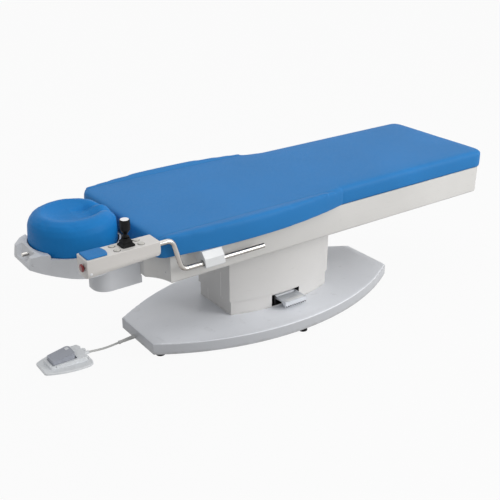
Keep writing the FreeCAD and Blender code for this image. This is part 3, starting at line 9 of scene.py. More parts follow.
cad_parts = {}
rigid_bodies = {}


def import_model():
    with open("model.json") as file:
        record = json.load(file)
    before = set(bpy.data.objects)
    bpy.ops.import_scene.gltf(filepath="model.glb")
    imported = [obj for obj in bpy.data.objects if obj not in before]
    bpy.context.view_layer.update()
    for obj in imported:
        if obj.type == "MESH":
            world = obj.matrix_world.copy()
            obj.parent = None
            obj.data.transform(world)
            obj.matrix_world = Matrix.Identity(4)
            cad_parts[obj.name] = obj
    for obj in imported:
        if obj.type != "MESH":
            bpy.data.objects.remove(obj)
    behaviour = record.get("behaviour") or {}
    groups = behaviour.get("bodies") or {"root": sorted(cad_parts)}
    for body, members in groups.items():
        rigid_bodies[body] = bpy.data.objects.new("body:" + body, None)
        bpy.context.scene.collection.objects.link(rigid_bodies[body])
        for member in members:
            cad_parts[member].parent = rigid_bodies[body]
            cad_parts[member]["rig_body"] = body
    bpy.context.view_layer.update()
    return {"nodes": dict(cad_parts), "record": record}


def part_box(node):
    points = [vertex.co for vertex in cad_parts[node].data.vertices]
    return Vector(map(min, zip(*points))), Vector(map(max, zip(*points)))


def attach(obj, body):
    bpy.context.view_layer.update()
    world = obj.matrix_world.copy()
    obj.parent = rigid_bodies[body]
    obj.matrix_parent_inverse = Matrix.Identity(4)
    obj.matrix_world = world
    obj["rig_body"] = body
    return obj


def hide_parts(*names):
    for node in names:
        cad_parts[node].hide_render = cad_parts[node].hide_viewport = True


# Looks of the eye-surgery operating table. Metres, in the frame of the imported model.

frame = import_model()

# Camera, as the photograph was taken
CAMERA_PLACE = (-1.8334, -2.4836, 1.6657)
CAMERA_YAW = 35.495
CAMERA_PITCH = 24.676
CAMERA_LENS = 59.1

# Upholstery, as the solids have it
CREASE_Y = 0.277
KINK_X = 0.185
MATTRESS_LOW = 0.495
CUSHION_PLACE = (-0.816, 0.0)
CUSHION_RADIUS = 0.155
CUSHION_LOW = 0.470
CUSHION_TOP = 0.616
CUSHION_FLAT_X = -0.668

# Sheet joints of the column's head face: across which axis, where, from which height to which
COLUMN_JOINTS = [("Y", -0.051, 0.115, 0.236), ("Y", 0.055, 0.066, 0.120)]

# Foot switch cord, the same points as the solid's route
CORD_ROUTE = [(-0.786, 0.036, 0.020), (-0.748, 0.035, 0.015), (-0.702, 0.032, 0.015), (-0.663, 0.029, 0.021)]
CORD_DIAMETER = 0.008


def camera():
    data = bpy.data.cameras.new("camera")
    data.lens = CAMERA_LENS
    data.sensor_width = 36
    data.clip_end = 50
    eye = bpy.data.objects.new("camera", data)
    eye.location = CAMERA_PLACE
    eye.rotation_euler = (math.radians(90 - CAMERA_PITCH), 0, -math.radians(CAMERA_YAW))
    bpy.context.scene.collection.objects.link(eye)
    bpy.context.scene.camera = eye


# Shading tools

def linear(*rgb):
    """A colour written in screen values, 0 to 255, as the linear one that shaders take."""
    def one(c):
        c = c / 255
        return c / 12.92 if c <= 0.04045 else ((c + 0.055) / 1.055) ** 2.4
    return (*[one(c) for c in rgb], 1)


class Finish:
    """One material: a principled shader and the chains of texture nodes that feed it."""

    def __init__(self, name, roughness, metallic=0.0, coat=0.0, sheen=0.0):
        self.material = bpy.data.materials.new(name)
        self.material.use_nodes = True
        self.nodes = self.material.node_tree.nodes
        self.links = self.material.node_tree.links
        self.shader = self.nodes["Principled BSDF"]
        self.shader.inputs["Metallic"].default_value = metallic
        self.shader.inputs["Roughness"].default_value = roughness
        self.shader.inputs["Coat Weight"].default_value = coat
        self.shader.inputs["Coat Roughness"].default_value = 0.2
        self.shader.inputs["Sheen Weight"].default_value = sheen
        self.place = self.nodes.new("ShaderNodeTexCoord").outputs["Object"]
        self.normal = None

    def stretched(self, scale):
        """Object coordinates, scaled along each axis."""
        mapping = self.nodes.new("ShaderNodeMapping")
        mapping.inputs["Scale"].default_value = scale
        self.links.new(self.place, mapping.inputs["Vector"])
        return mapping.outputs["Vector"]

    def noise(self, scale, detail=4.0, place=None, distortion=0.0):
        node = self.nodes.new("ShaderNodeTexNoise")
        node.inputs["Scale"].default_value = scale
        node.inputs["Detail"].default_value = detail
        node.inputs["Distortion"].default_value = distortion
        self.links.new(place or self.place, node.inputs["Vector"])
        return node.outputs["Fac"]

    def cells(self, scale, feature="F1", place=None):
        node = self.nodes.new("ShaderNodeTexVoronoi")
        node.feature = feature
        node.inputs["Scale"].default_value = scale
        self.links.new(place or self.place, node.inputs["Vector"])
        return node.outputs["Distance"]

    def band(self, value, low, high, to_low=0.0, to_high=1.0):
        """A value's stretch from low to high, spread over another range."""
        node = self.nodes.new("ShaderNodeMapRange")
        node.clamp = True
        for name, number in (("From Min", low), ("From Max", high), ("To Min", to_low), ("To Max", to_high)):
            node.inputs[name].default_value = number
        self.links.new(value, node.inputs["Value"])
        return node.outputs["Result"]

    def math(self, kind, a, b):
        node = self.nodes.new("ShaderNodeMath")
        node.operation = kind
        for socket, value in zip(node.inputs, (a, b)):
            if hasattr(value, "is_output"):
                self.links.new(value, socket)
            else:
                socket.default_value = value
        return node.outputs["Value"]

    def away(self, value, centre):
        """How far a value lies from a centre."""
        return self.math("ABSOLUTE", self.math("SUBTRACT", value, centre), 0.0)

    def axis(self, letter):
        """The height along one axis of the object's frame."""
        node = self.nodes.new("ShaderNodeSeparateXYZ")
        self.links.new(self.place, node.inputs["Vector"])
        return node.outputs[letter]

    def upward(self):
        """How far a surface faces up, from -1 to 1."""
        node = self.nodes.new("ShaderNodeSeparateXYZ")
        self.links.new(self.nodes.new("ShaderNodeNewGeometry").outputs["Normal"], node.inputs["Vector"])
        return node.outputs["Z"]

    def mix(self, share, a, b):
        node = self.nodes.new("ShaderNodeMix")
        node.data_type = "RGBA"
        self.links.new(share, node.inputs["Factor"])
        for socket, value in ((node.inputs[6], a), (node.inputs[7], b)):
            if hasattr(value, "is_output"):
                self.links.new(value, socket)
            else:
                socket.default_value = value
        return node.outputs[2]

    def colour(self, value):
        if hasattr(value, "is_output"):
            self.links.new(value, self.shader.inputs["Base Color"])
        else:
            self.shader.inputs["Base Color"].default_value = value

    def roughness(self, value):
        self.links.new(value, self.shader.inputs["Roughness"])

    def bump(self, height, distance, strength=1.0):
        node = self.nodes.new("ShaderNodeBump")
        node.inputs["Distance"].default_value = distance
        node.inputs["Strength"].default_value = strength
        self.links.new(height, node.inputs["Height"])
        if self.normal:
            self.links.new(self.normal, node.inputs["Normal"])
        self.normal = node.outputs["Normal"]
        self.links.new(self.normal, self.shader.inputs["Normal"])


def shade(rgb, factor):
    """A darker or lighter tone of a screen colour."""
    return linear(*[min(255, c * factor) for c in rgb])


def vinyl(name, rgb, creased=False):
    """Coated upholstery: fine leather grain, a slightly uneven tone and, when creased, soft creases with a
    painted shade line along them.
    """
    f = Finish(name, 0.5)
    f.shader.inputs["Specular IOR Level"].default_value = 0.16
    tone = f.band(f.noise(3.2, 3.0), 0.35, 0.65)
    base = f.mix(tone, shade(rgb, 0.975), shade(rgb, 1.02))
    grain = f.cells(1100, "DISTANCE_TO_EDGE")
    pits = f.band(grain, 0.0, 0.12)
    tone = f.mix(pits, shade(rgb, 0.92), base)
    if creased:
        off_centre = f.math("ABSOLUTE", f.axis("Y"), 0.0)
        across = f.away(off_centre, CREASE_Y)
        ahead = f.band(f.axis("X"), KINK_X - 0.004, KINK_X + 0.004, 1.0, 0.0)
        top = f.band(f.axis("Z"), 0.558, 0.562)
        groove = f.band(across, 0.0006, 0.0030, 1.0, 0.0)
        crease_dent_and_shade = f.math("MULTIPLY", f.math("MULTIPLY", groove, ahead), top)
        kink = f.away(f.axis("X"), KINK_X)
        side = f.band(off_centre, CREASE_Y - 0.004, CREASE_Y)
        fold_dent_and_shade = f.math("MULTIPLY", f.band(kink, 0.0006, 0.0026, 1.0, 0.0), side)
        line = f.math("MAXIMUM", crease_dent_and_shade, fold_dent_and_shade)
        # Painted shade: the crease and fold lines are painted darker, besides the small dent of the bump below.
        tone = f.mix(f.math("MULTIPLY", line, 0.30), tone, shade(rgb, 0.72))
        f.bump(f.math("MULTIPLY", line, -1.0), 0.001, 0.5)
    f.colour(tone)
    f.roughness(f.band(f.noise(240, 6.0), 0.3, 0.7, 0.44, 0.60))
    f.bump(f.band(grain, 0.0, 0.25), 0.00012, 0.5)
    f.bump(f.noise(26, 3.0), 0.0009, 0.35)
    return f.material


def joint_and_highlight(f, across, place, low, high):
    """A fine upright joint between two sheets on the column's head face: the mask for its groove and for the
    painted highlight along it.
    """
    line = f.band(f.away(f.axis(across), place), 0.0010, 0.0020, 1.0, 0.0)
    above = f.band(f.axis("Z"), low, low + 0.001)
    below = f.band(f.axis("Z"), high - 0.001, high, 1.0, 0.0)
    height = f.math("MULTIPLY", above, below)
    front = f.band(f.axis("X"), -0.20, -0.19, 1.0, 0.0)
    return f.math("MULTIPLY", f.math("MULTIPLY", line, height), front)


def powder_coat(name, rgb, gloss=0.42, darkened_low=None, worn=0.0, joints=(), side=None):
    """Sprayed paint on metal: orange peel, faint clouding, fine scuffs, grey-brown mottling darker towards the
    bottom, a painted shade on the side below a given height, and joints painted lighter as painted highlights.
    """
    f = Finish(name, gloss, coat=0.12)
    cloud = f.band(f.noise(2.4, 4.0), 0.35, 0.65)
    tone = f.mix(cloud, shade(rgb, 0.975), shade(rgb, 1.015))
    scuffs = f.band(f.noise(60, 8.0, f.stretched((0.35, 0.35, 2.2)), 0.6), 0.63, 0.72)
    tone = f.mix(f.math("MULTIPLY", scuffs, 0.25 + worn), tone, shade(rgb, 0.86))
    # Painted shade: below the given height the side is painted darker.
    if side:
        low, high, side_shade_factor = side
        tone = f.mix(f.band(f.axis("Z"), low, high, 1.0, 0.0), tone, shade(rgb, side_shade_factor))
    # Darker grey-brown mottling towards the bottom, over the given height range.
    if darkened_low:
        low, high = darkened_low
        foot = f.band(f.axis("Z"), low, high, 1.0, 0.0)
        low_mottling = f.math("MULTIPLY", foot, f.band(f.noise(45, 8.0), 0.35, 0.75))
        tone = f.mix(f.math("MULTIPLY", low_mottling, 0.55), tone, shade((120, 116, 108), 1.0))
    for joint in joints:
        # Painted highlight: each joint is painted lighter, as well as pressed in as a fine groove.
        line = joint_and_highlight(f, *joint)
        tone = f.mix(f.math("MULTIPLY", line, 0.8), tone, shade(rgb, 1.15))
        f.bump(f.math("MULTIPLY", line, -1.0), 0.0006, 0.5)
    f.colour(tone)
    f.roughness(f.band(f.noise(18, 6.0), 0.3, 0.7, gloss - 0.06, gloss + 0.10))
    f.bump(f.noise(900, 2.0), 0.00006, 0.45)
    f.bump(f.noise(9, 2.0), 0.0005, 0.15)
    return f.material


def moulded(name, rgb, gloss=0.38, grain=1500, shine=0.5):
    """Injection-moulded plastic: spark-eroded grain, flow clouding and handling marks."""
    f = Finish(name, gloss)
    f.shader.inputs["Specular IOR Level"].default_value = shine
    flow = f.band(f.noise(6.0, 5.0, f.stretched((0.5, 1.6, 1.0))), 0.35, 0.65)
    tone = f.mix(flow, shade(rgb, 0.97), shade(rgb, 1.02))
    marks = f.band(f.noise(75, 9.0, None, 1.2), 0.66, 0.74)
    f.colour(f.mix(f.math("MULTIPLY", marks, 0.18), tone, shade(rgb, 0.82)))
    f.roughness(f.band(f.noise(34, 6.0), 0.3, 0.7, gloss - 0.07, gloss + 0.12))
    f.bump(f.cells(grain), 0.00005, 0.4)
    return f.material


def soft_rubber(name, rgb, ribbed=False):
    """Rubber: matt, with a fine tooth and pale dust in the hollows."""
    f = Finish(name, 0.72)
    f.shader.inputs["Specular IOR Level"].default_value = 0.25
    dust = f.band(f.noise(70, 8.0), 0.56, 0.78)
    f.colour(f.mix(f.math("MULTIPLY", dust, 0.25), linear(*rgb), shade([c + 30 for c in rgb], 1.0)))
    f.roughness(f.band(f.noise(30, 5.0), 0.3, 0.7, 0.62, 0.85))
    f.bump(f.noise(1300, 3.0), 0.0001, 0.6)
    if ribbed:
        f.bump(f.noise(60, 2.0, f.stretched((1, 1, 12))), 0.0004, 0.5)
    return f.material


def polished(name, rgb, painted_underside_shade, roughness=0.09):
    """Bright plating: near-mirror, with hairlines and smears, and a painted shade that turns faces towards the
    floor a darker brown.
    """
    f = Finish(name, roughness, metallic=1.0)
    smear = f.band(f.noise(14, 6.0), 0.4, 0.7)
    plating = f.mix(smear, shade(rgb, 0.94), linear(*rgb))
    # Painted shade: the more a face turns down, the more it takes the dark brown underside colour.
    f.colour(f.mix(f.band(f.upward(), -0.75, 0.25, 1.0, 0.0), plating, linear(*painted_underside_shade)))
    f.roughness(f.band(f.noise(120, 6.0, f.stretched((1, 0.08, 0.08))), 0.3, 0.75, roughness, roughness + 0.14))
    f.bump(f.noise(420, 4.0, f.stretched((0.05, 1, 1))), 0.00003, 0.5)
    return f.material


def brushed(name, rgb, along=(0.04, 1, 1), roughness=0.32):
    """Ground or drawn metal: long fine scratches one way, clouded oxide."""
    f = Finish(name, roughness, metallic=1.0)
    lines = f.noise(900, 3.0, f.stretched(along))
    cloud = f.band(f.noise(7, 6.0), 0.35, 0.7)
    f.colour(f.mix(cloud, shade(rgb, 0.84), linear(*rgb)))
    f.roughness(f.band(lines, 0.3, 0.7, roughness - 0.08, roughness + 0.16))
    f.bump(lines, 0.00006, 0.6)
    return f.material


def zinc_plate(name, rgb):
    """Galvanised sheet: crystal spangle with dull patches."""
    f = Finish(name, 0.45, metallic=0.9)
    spangle = f.cells(70)
    f.colour(f.mix(f.band(spangle, 0.0, 0.7), shade(rgb, 0.8), shade(rgb, 1.06)))
    f.roughness(f.band(spangle, 0.0, 0.8, 0.34, 0.58))
    f.bump(f.noise(300, 5.0), 0.00008, 0.5)
    return f.material


BLUE = (38, 119, 184)
DEEP_BLUE = (20, 118, 188)
finishes = {
    # The base paint is lighter than its own colour, a painted lightening for the light that the table top
    # shades off; side= paints its side darker as painted shade.
    "base_cover": powder_coat("base_paint", (232, 235, 241), 0.40, darkened_low=(0.020, 0.034),
                              side=(0.0615, 0.0645, 0.80)),
    "column_paint": powder_coat("column_paint", (212, 211, 210), 0.42, darkened_low=(0.066, 0.078),
                                joints=COLUMN_JOINTS),
    "casing_paint": powder_coat("casing_paint", (207, 206, 204), 0.42),
    "pedal_paint": powder_coat("pedal_paint", (210, 214, 220), 0.35, worn=0.2),
    "white_casting": powder_coat("clamp_paint", (222, 224, 226), 0.36),
    "frame_steel": powder_coat("frame_paint", (70, 72, 76), 0.55, worn=0.2),
    "well_steel": powder_coat("well_paint", (26, 26, 28), 0.6, worn=0.2),
    "blue_vinyl": vinyl("blue_vinyl", BLUE, creased=True),
    "head_vinyl": vinyl("deep_blue_vinyl", DEEP_BLUE),
    "board_laminate": moulded("board_laminate", (34, 36, 40), 0.5),
    "head_plastic": moulded("head_plastic", (206, 208, 212), 0.36),
    "guide_plastic": moulded("guide_plastic", (226, 222, 210), 0.4),
    "bush_plastic": moulded("bush_plastic", (42, 42, 44), 0.45),
    "console_plastic": moulded("console_plastic", (205, 202, 199), 0.34),
    "button_plastic": moulded("button_plastic", (188, 186, 180), 0.22),
    "red_plastic": moulded("red_plastic", (122, 12, 20), 0.22),
    "black_plastic": moulded("black_plastic", (4, 4, 5), 0.34, shine=0.2),
    "switch_plastic": moulded("switch_plastic", (224, 227, 230), 0.34),
    "tread_plastic": moulded("tread_plastic", (160, 164, 174), 0.38, 900),
    "foot_rubber": soft_rubber("foot_rubber", (22, 22, 24)),
    "black_rubber": soft_rubber("black_rubber", (7, 7, 8), ribbed=True),
    "grey_rubber": soft_rubber("grey_rubber", (196, 197, 196)),
    "castor_tyre": soft_rubber("castor_tyre", (50, 50, 53)),
    # Chrome: the second colour is a painted shade for faces turned to the floor.
    "chrome": polished("chrome", (214, 211, 207), (92, 80, 68)),
    "white_disc": brushed("white_disc", (236, 236, 238), roughness=0.3),
    "bright_steel": brushed("bright_steel", (184, 185, 187)),
    "spindle_steel": brushed("spindle_steel", (128, 130, 134), (1, 1, 0.04)),
    "mast_aluminium": brushed("mast_aluminium", (188, 190, 194), (1, 1, 0.04), 0.38),
    "galvanised_steel": zinc_plate("galvanised_steel", (168, 171, 174)),
    "castor_metal": zinc_plate("castor_metal", (176, 178, 180)),
}


# Modelling tools

def made(name, bm, finish, body, replaces=(), slot=None, smooth=40):
    """A finished piece from a bmesh: linked, shaded, dressed, riding on its body."""
    mesh = bpy.data.meshes.new(name)
    bm.to_mesh(mesh)
    bm.free()
    piece = bpy.data.objects.new(name, mesh)
    bpy.context.scene.collection.objects.link(piece)
    for polygon in mesh.polygons:
        polygon.use_smooth = True
    mesh.set_sharp_from_angle(angle=math.radians(smooth))
    mesh.materials.append(finishes[finish])
    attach(piece, body)
    if replaces:
        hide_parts(*replaces)
    if slot or finish in known_slots:
        slot or finish
    return piece


def node_copy(node):
    """A CAD node's shape as clean faces: doubles merged, flat stretches joined."""
    bm = bmesh.new()
    bm.from_mesh(frame["nodes"][node].data)
    for layer in list(bm.loops.layers.uv):
        bm.loops.layers.uv.remove(layer)
    bmesh.ops.remove_doubles(bm, verts=bm.verts, dist=2e-6)
    bmesh.ops.dissolve_limit(bm, angle_limit=math.radians(0.6), verts=bm.verts, edges=bm.edges)
    return bm


OWN_FINISH = {"knob_disc": "white_disc"}


def dressed(node, width, segments=3, smooth=40, angle=38):
    """A CAD node's own shape with its sharp edges broken, as the real piece's are."""
    source = frame["nodes"][node]
    bm = node_copy(node)
    finish = OWN_FINISH.get(node, slot_of[node])
    piece = made(node + "_skin", bm, finish, source["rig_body"], [node], slot_of[node], smooth)
    if "custom_normal" in piece.data.attributes:
        piece.data.attributes.remove(piece.data.attributes["custom_normal"])
    broken = piece.modifiers.new("broken_edges", "BEVEL")
    broken.width = width
    broken.segments = segments
    broken.limit_method = "ANGLE"
    broken.angle_limit = math.radians(angle)
    broken.harden_normals = False
    return piece


record = frame["record"]
slot_of = {s["node"]: s["material_slot"] for s in record["subparts"]}
known_slots = {m["slot"] for m in record["materials"]}

camera()


# Cord of the foot switch

def foot_switch_cord():
    curve = bpy.data.curves.new("switch_cord", "CURVE")
    curve.dimensions = "3D"
    curve.bevel_depth = CORD_DIAMETER / 2
    curve.bevel_resolution = 4
    curve.resolution_u = 24
    curve.use_fill_caps = True
    line = curve.splines.new("NURBS")
    line.points.add(len(CORD_ROUTE) - 1)
    for point, place in zip(line.points, CORD_ROUTE):
        point.co = (*place, 1)
    line.order_u = 3
    line.use_endpoint_u = True
    cord = bpy.data.objects.new("switch_cord", curve)
    bpy.context.scene.collection.objects.link(cord)
    curve.materials.append(finishes["grey_rubber"])
    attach(cord, "base")
    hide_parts("foot_switch_cord")
    return cord


foot_switch_cord()


# Every CAD node gets its finish; the ones that show get broken edges too
for node, piece in frame["nodes"].items():
    piece.data.materials.clear()
    piece.data.materials.append(finishes[slot_of[node]])

SOFT_EDGES = {
    "base_housing": 0.0012, "cover_lower": 0.0008, "cover_upper": 0.0008, "side_casing": 0.0010,
    "head_tray": 0.0025, "head_housing": 0.0012, "clamp_block": 0.0035, "clamp_bush": 0.0004,
    "console_tube": 0.0006, "console_body": 0.0008, "console_lid": 0.0008, "push_button_1": 0.0004,
    "push_button_2": 0.0004, "push_button_3": 0.0004, "push_button_4": 0.0004, "stop_button": 0.0005,
    "castor_pedal": 0.0010, "pedal_well": 0.0006, "foot_switch_housing": 0.0030,
    "foot_switch_tread": 0.0022, "foot_pads": 0.0008, "release_knob": 0.0005, "cord_relief": 0.0006,
    "base_plate": 0.0008, "top_frame": 0.0015, "tilt_motor": 0.0015, "column_head": 0.0010,
    "knob_disc": 0.0004,
}
for node, width in SOFT_EDGES.items():
    dressed(node, width)


# Upholstery

def evaluated(piece):
    """A piece's mesh as its modifiers leave it."""
    return bpy.data.meshes.new_from_object(piece.evaluated_get(bpy.context.evaluated_depsgraph_get()))


def evened(form, moves, rounds):
    """Each point's move averaged with its neighbours', so the filling leaves no wrinkles."""
    pairs = [tuple(edge.vertices) for edge in form.data.edges]
    for _ in range(rounds):
        total = [move.copy() for move in moves]
        count = [1] * len(moves)
        for one, other in pairs:
            total[one] += moves[other]
            total[other] += moves[one]
            count[one] += 1
            count[other] += 1
        moves = [move / number for move, number in zip(total, count)]
    return moves


def blown_up(name, bm, voxel, cap, pressure, inside, rounds=6):
    """A cover blown up like a filled cushion: evenly meshed, simulated as cloth, and held within a cap."""
    mesh = bpy.data.meshes.new(name)
    bm.to_mesh(mesh)
    bm.free()
    form = bpy.data.objects.new(name, mesh)
    bpy.context.scene.collection.objects.link(form)
    even = form.modifiers.new("even", "REMESH")
    even.mode = "VOXEL"
    even.voxel_size = voxel
    form.data = evaluated(form)
    form.modifiers.clear()
    cloth = form.modifiers.new("filling", "CLOTH")
    cloth.settings.quality = 3
    cloth.settings.mass = 0.3
    cloth.settings.use_pressure = True
    cloth.settings.uniform_pressure_force = pressure
    cloth.settings.effector_weights.gravity = 0
    cloth.collision_settings.use_collision = False
    for step in range(1, 21):
        bpy.context.scene.frame_set(step)
    swollen = evaluated(form)
    form.modifiers.clear()
    bpy.context.scene.frame_set(1)
    moves = [grown.co - start.co for start, grown in zip(form.data.vertices, swollen.vertices)]
    moves = [move * min(1.0, cap / max(move.length, 1e-9)) for move in moves]
    for vertex, move in zip(form.data.vertices, evened(form, moves, rounds)):
        vertex.co += move
    for vertex in form.data.vertices:
        vertex.co = inside(vertex.co)
    result = bmesh.new()
    result.from_mesh(form.data)
    bpy.data.objects.remove(form)
    return result


def even_faces(bm, rounds=0):
    """One more cut of every face, smoothed before and after."""
    for _ in range(rounds):
        bmesh.ops.smooth_vert(bm, verts=bm.verts, factor=0.5, use_axis_x=True, use_axis_y=True, use_axis_z=True)
    bmesh.ops.subdivide_edges(bm, edges=bm.edges, cuts=1, use_grid_fill=True)
    bmesh.ops.smooth_vert(bm, verts=bm.verts, factor=0.5, use_axis_x=True, use_axis_y=True, use_axis_z=True)
    return bm


def between(value, low, high):
    """A value held within two limits."""
    return min(max(value, low), high)


def dip(value, centre, width):
    """A smooth hump of height one about a centre."""
    return math.exp(-((value - centre) / width) ** 2)


def edges_in(geometry):
    return [part for part in geometry if isinstance(part, bmesh.types.BMEdge)]


def verts_in(geometry):
    return [part for part in geometry if isinstance(part, bmesh.types.BMVert)]


def mattress():
    """The long mattress: firm, flat along the middle, its shoulder wings rising to the rim."""
    bm = node_copy("mattress")
    everything = bm.verts[:] + bm.edges[:] + bm.faces[:]
    above = (0, 0, 0.506)
    cut = bmesh.ops.bisect_plane(bm, geom=everything, plane_co=above, plane_no=(0, 0, 1), clear_inner=True)
    floor = bmesh.ops.contextual_create(bm, geom=edges_in(cut["geom_cut"]))["faces"]
    lower = bmesh.ops.extrude_face_region(bm, geom=floor)["geom"]
    bmesh.ops.delete(bm, geom=floor, context="FACES_ONLY")
    for vertex in verts_in(lower):
        vertex.co.z = MATTRESS_LOW - 0.014
    bmesh.ops.recalc_face_normals(bm, faces=bm.faces)
    low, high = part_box("mattress")

    def inside(co):
        return Vector((between(co.x, low[0], high[0]), between(co.y, low[1] - 0.003, high[1] + 0.003), co.z))

    bm = blown_up("mattress_form", bm, 0.0100, 0.0034, 3.0, inside, 10)
    bm = even_faces(bm, 7)
    everything = bm.verts[:] + bm.edges[:] + bm.faces[:]
    rest = (0, 0, MATTRESS_LOW + 0.0002)
    cut = bmesh.ops.bisect_plane(bm, geom=everything, plane_co=rest, plane_no=(0, 0, 1), clear_inner=True)
    bmesh.ops.contextual_create(bm, geom=edges_in(cut["geom_cut"]))
    bmesh.ops.recalc_face_normals(bm, faces=bm.faces)
    for vertex in bm.verts:
        co = vertex.co
        if co.z > 0.55 and co.x < KINK_X:
            co.z -= 0.0012 * dip(abs(co.y), CREASE_Y, 0.006) * min(1.0, (KINK_X - co.x) / 0.05)
        if abs(co.y) > CREASE_Y - 0.01:
            co.y -= math.copysign(0.0015 * dip(co.x, KINK_X, 0.008), co.y)
    piece = made("mattress_cover", bm, "blue_vinyl", "table_top", ["mattress"], smooth=180)
    return piece


def cushion_form():
    """The head cushion before it is filled: steep sides, rolled rim, dished top, cut flat at the neck."""
    x, y = CUSHION_PLACE
    r, low, top = CUSHION_RADIUS - 0.005, CUSHION_LOW + 0.002, CUSHION_TOP - 0.003
    side = [(0, low), (r, low), (r + 0.004, low + 0.006), (r + 0.004, 0.53), (r + 0.001, 0.575)]
    shoulder = [(r - 0.005, 0.595), (r - 0.015, 0.608), (r - 0.030, top), (r - 0.045, top - 0.0015)]
    dish = [(0.085, top - 0.009), (0.060, top - 0.017), (0.030, top - 0.022), (0, top - 0.023)]
    profile = side + shoulder + dish
    bm = bmesh.new()
    verts = [bm.verts.new((x + px, y, z)) for px, z in profile]
    edges = [bm.edges.new(pair) for pair in zip(verts, verts[1:])]
    bmesh.ops.spin(bm, geom=verts + edges, cent=(x, y, 0), axis=(0, 0, 1), angle=math.tau, steps=72,
                   use_merge=True)
    bmesh.ops.remove_doubles(bm, verts=bm.verts, dist=1e-5)
    everything = bm.verts[:] + bm.edges[:] + bm.faces[:]
    neck = (CUSHION_FLAT_X - 0.004, 0, 0)
    cut = bmesh.ops.bisect_plane(bm, geom=everything, plane_co=neck, plane_no=(1, 0, 0), clear_outer=True)
    bmesh.ops.contextual_create(bm, geom=edges_in(cut["geom_cut"]))
    bmesh.ops.recalc_face_normals(bm, faces=bm.faces)
    return bm


def head_cushion():
    """The head cushion, with the neck's channel pressed into its dished top."""
    x, y = CUSHION_PLACE

    def inside(co):
        reach = math.hypot(co.x - x, co.y - y)
        most = CUSHION_RADIUS + (0.0015 if co.z < 0.522 else 0.003)
        if reach > most:
            co = Vector((x + (co.x - x) * most / reach, y + (co.y - y) * most / reach, co.z))
        height = between(co.z, CUSHION_LOW + 0.0002, CUSHION_TOP + 0.002)
        return Vector((min(co.x, CUSHION_FLAT_X + 0.0005), co.y, height))

    bm = blown_up("cushion_form", cushion_form(), 0.0048, 0.006, 4.0, inside)
    bm = even_faces(bm)
    for vertex in bm.verts:
        co = vertex.co
        if co.z < 0.575:
            continue
        rise = min(1.0, (co.z - 0.575) / 0.02)
        along = min(1.0, max(0.0, (co.x - (x + 0.010)) / 0.055))
        channel = 0.019 * dip(co.y, 0.0, 0.050) * along
        roll = 0.011 * dip(co.y, 0.004, 0.017) * along
        creases = 0.0080 * (dip(co.y, 0.037, 0.008) + dip(co.y, -0.031, 0.008)) * along
        bowl = 0.004 * dip(co.x, x - 0.02, 0.05) * dip(co.y, 0.0, 0.05)
        co.z -= rise * (channel - roll + creases + bowl)
    piece = made("head_cushion_cover", bm, "head_vinyl", "head_rest", ["head_cushion"], smooth=180)
    return piece


def arm_pad():
    """The thin pad let into the console's head end."""
    bm = node_copy("arm_pad")
    low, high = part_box("arm_pad")

    def inside(co):
        return Vector((between(co.x, low[0], high[0] + 0.0005), between(co.y, low[1], high[1]),
                       between(co.z, low[2], high[2] + 0.0006)))

    bm = even_faces(blown_up("arm_pad_form", bm, 0.0015, 0.0012, 3.0, inside))
    piece = made("arm_pad_cover", bm, "blue_vinyl", "console", ["arm_pad"], smooth=180)
    return piece


mattress()
head_cushion()
arm_pad()


# Small fittings

def node_tree(node):
    mesh = frame["nodes"][node].data
    faces = [tuple(face.vertices) for face in mesh.polygons]
    return BVHTree.FromPolygons([vertex.co.copy() for vertex in mesh.vertices], faces)


def on_surface(node, start, direction):
    """Where a line meets a node's surface, and the way the surface faces there."""
    place, facing, _, _ = node_tree(node).ray_cast(Vector(start), Vector(direction).normalized())
    return place, facing


def turned(profile, place, facing, steps=32):
    """A lathe-turned fitting: its profile of radius and height, spun and set on a surface."""
    bm = bmesh.new()
    verts = [bm.verts.new((radius, 0, height)) for radius, height in profile]
    edges = [bm.edges.new(pair) for pair in zip(verts, verts[1:])]
    bmesh.ops.spin(bm, geom=verts + edges, cent=(0, 0, 0), axis=(0, 0, 1), angle=math.tau, steps=steps,
                   use_merge=True)
    bmesh.ops.remove_doubles(bm, verts=bm.verts, dist=1e-6)
    bmesh.ops.recalc_face_normals(bm, faces=bm.faces)
    turn = Vector(facing).to_track_quat("Z", "Y").to_matrix().to_4x4()
    bmesh.ops.transform(bm, matrix=Matrix.Translation(place) @ turn, verts=bm.verts)
    return bm


SCREW = [(0, 0.0004), (0.0013, 0.0004), (0.0016, 0.0011), (0.0034, 0.0009), (0.0040, 0.0002),
         (0.0041, -0.0006), (0, -0.0006)]
PLUG = [(0, 0.0013), (0.0030, 0.0011), (0.0048, 0.0005), (0.0054, -0.0003), (0.0054, -0.0012), (0, -0.0012)]
# Profile of the dark ring that stands as painted shade in each button's gap.
BUTTON_GAP_SHADE = [(0.0107, 0.0001), (0.0109, 0.0004), (0.0117, 0.0004), (0.0119, 0.0001), (0.0119, -0.0003),
               (0.0107, -0.0003), (0.0107, 0.0001)]


def tray_screw():
    place, facing = on_surface("head_tray", (-1.0307, -0.1138, 0.485), (0.631, 0.776, 0))
    made("tray_screw", turned(SCREW, place, facing), "bright_steel", "head_rest")


def casing_screw():
    place, facing = on_surface("side_casing", (-0.75, -0.25, 0.415), (1, 0, 0))
    made("casing_screw", turned(SCREW, place, facing), "bright_steel", "table_top")


def console_plugs():
    """White blanking plugs low on the console's near side."""
    for name, x in (("console_plug_head", -0.913), ("console_plug_foot", -0.676)):
        place, facing = on_surface("console_body", (x, -0.40, 0.537), (0, 1, 0))
        made(name, turned(PLUG, place, facing), "white_casting", "console")


def button_gap_shades():
    """A thin dark ring round each push button: painted shade, standing in for the shade in the gap between
    button and lid.
    """
    for number in range(1, 5):
        low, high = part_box(f"push_button_{number}")
        place = ((low[0] + high[0]) / 2, (low[1] + high[1]) / 2, 0.5855)
        ring = turned(BUTTON_GAP_SHADE, place, (0, 0, 1), 40)
        made(f"button_gap_shade_{number}", ring, "bush_plastic", "console")


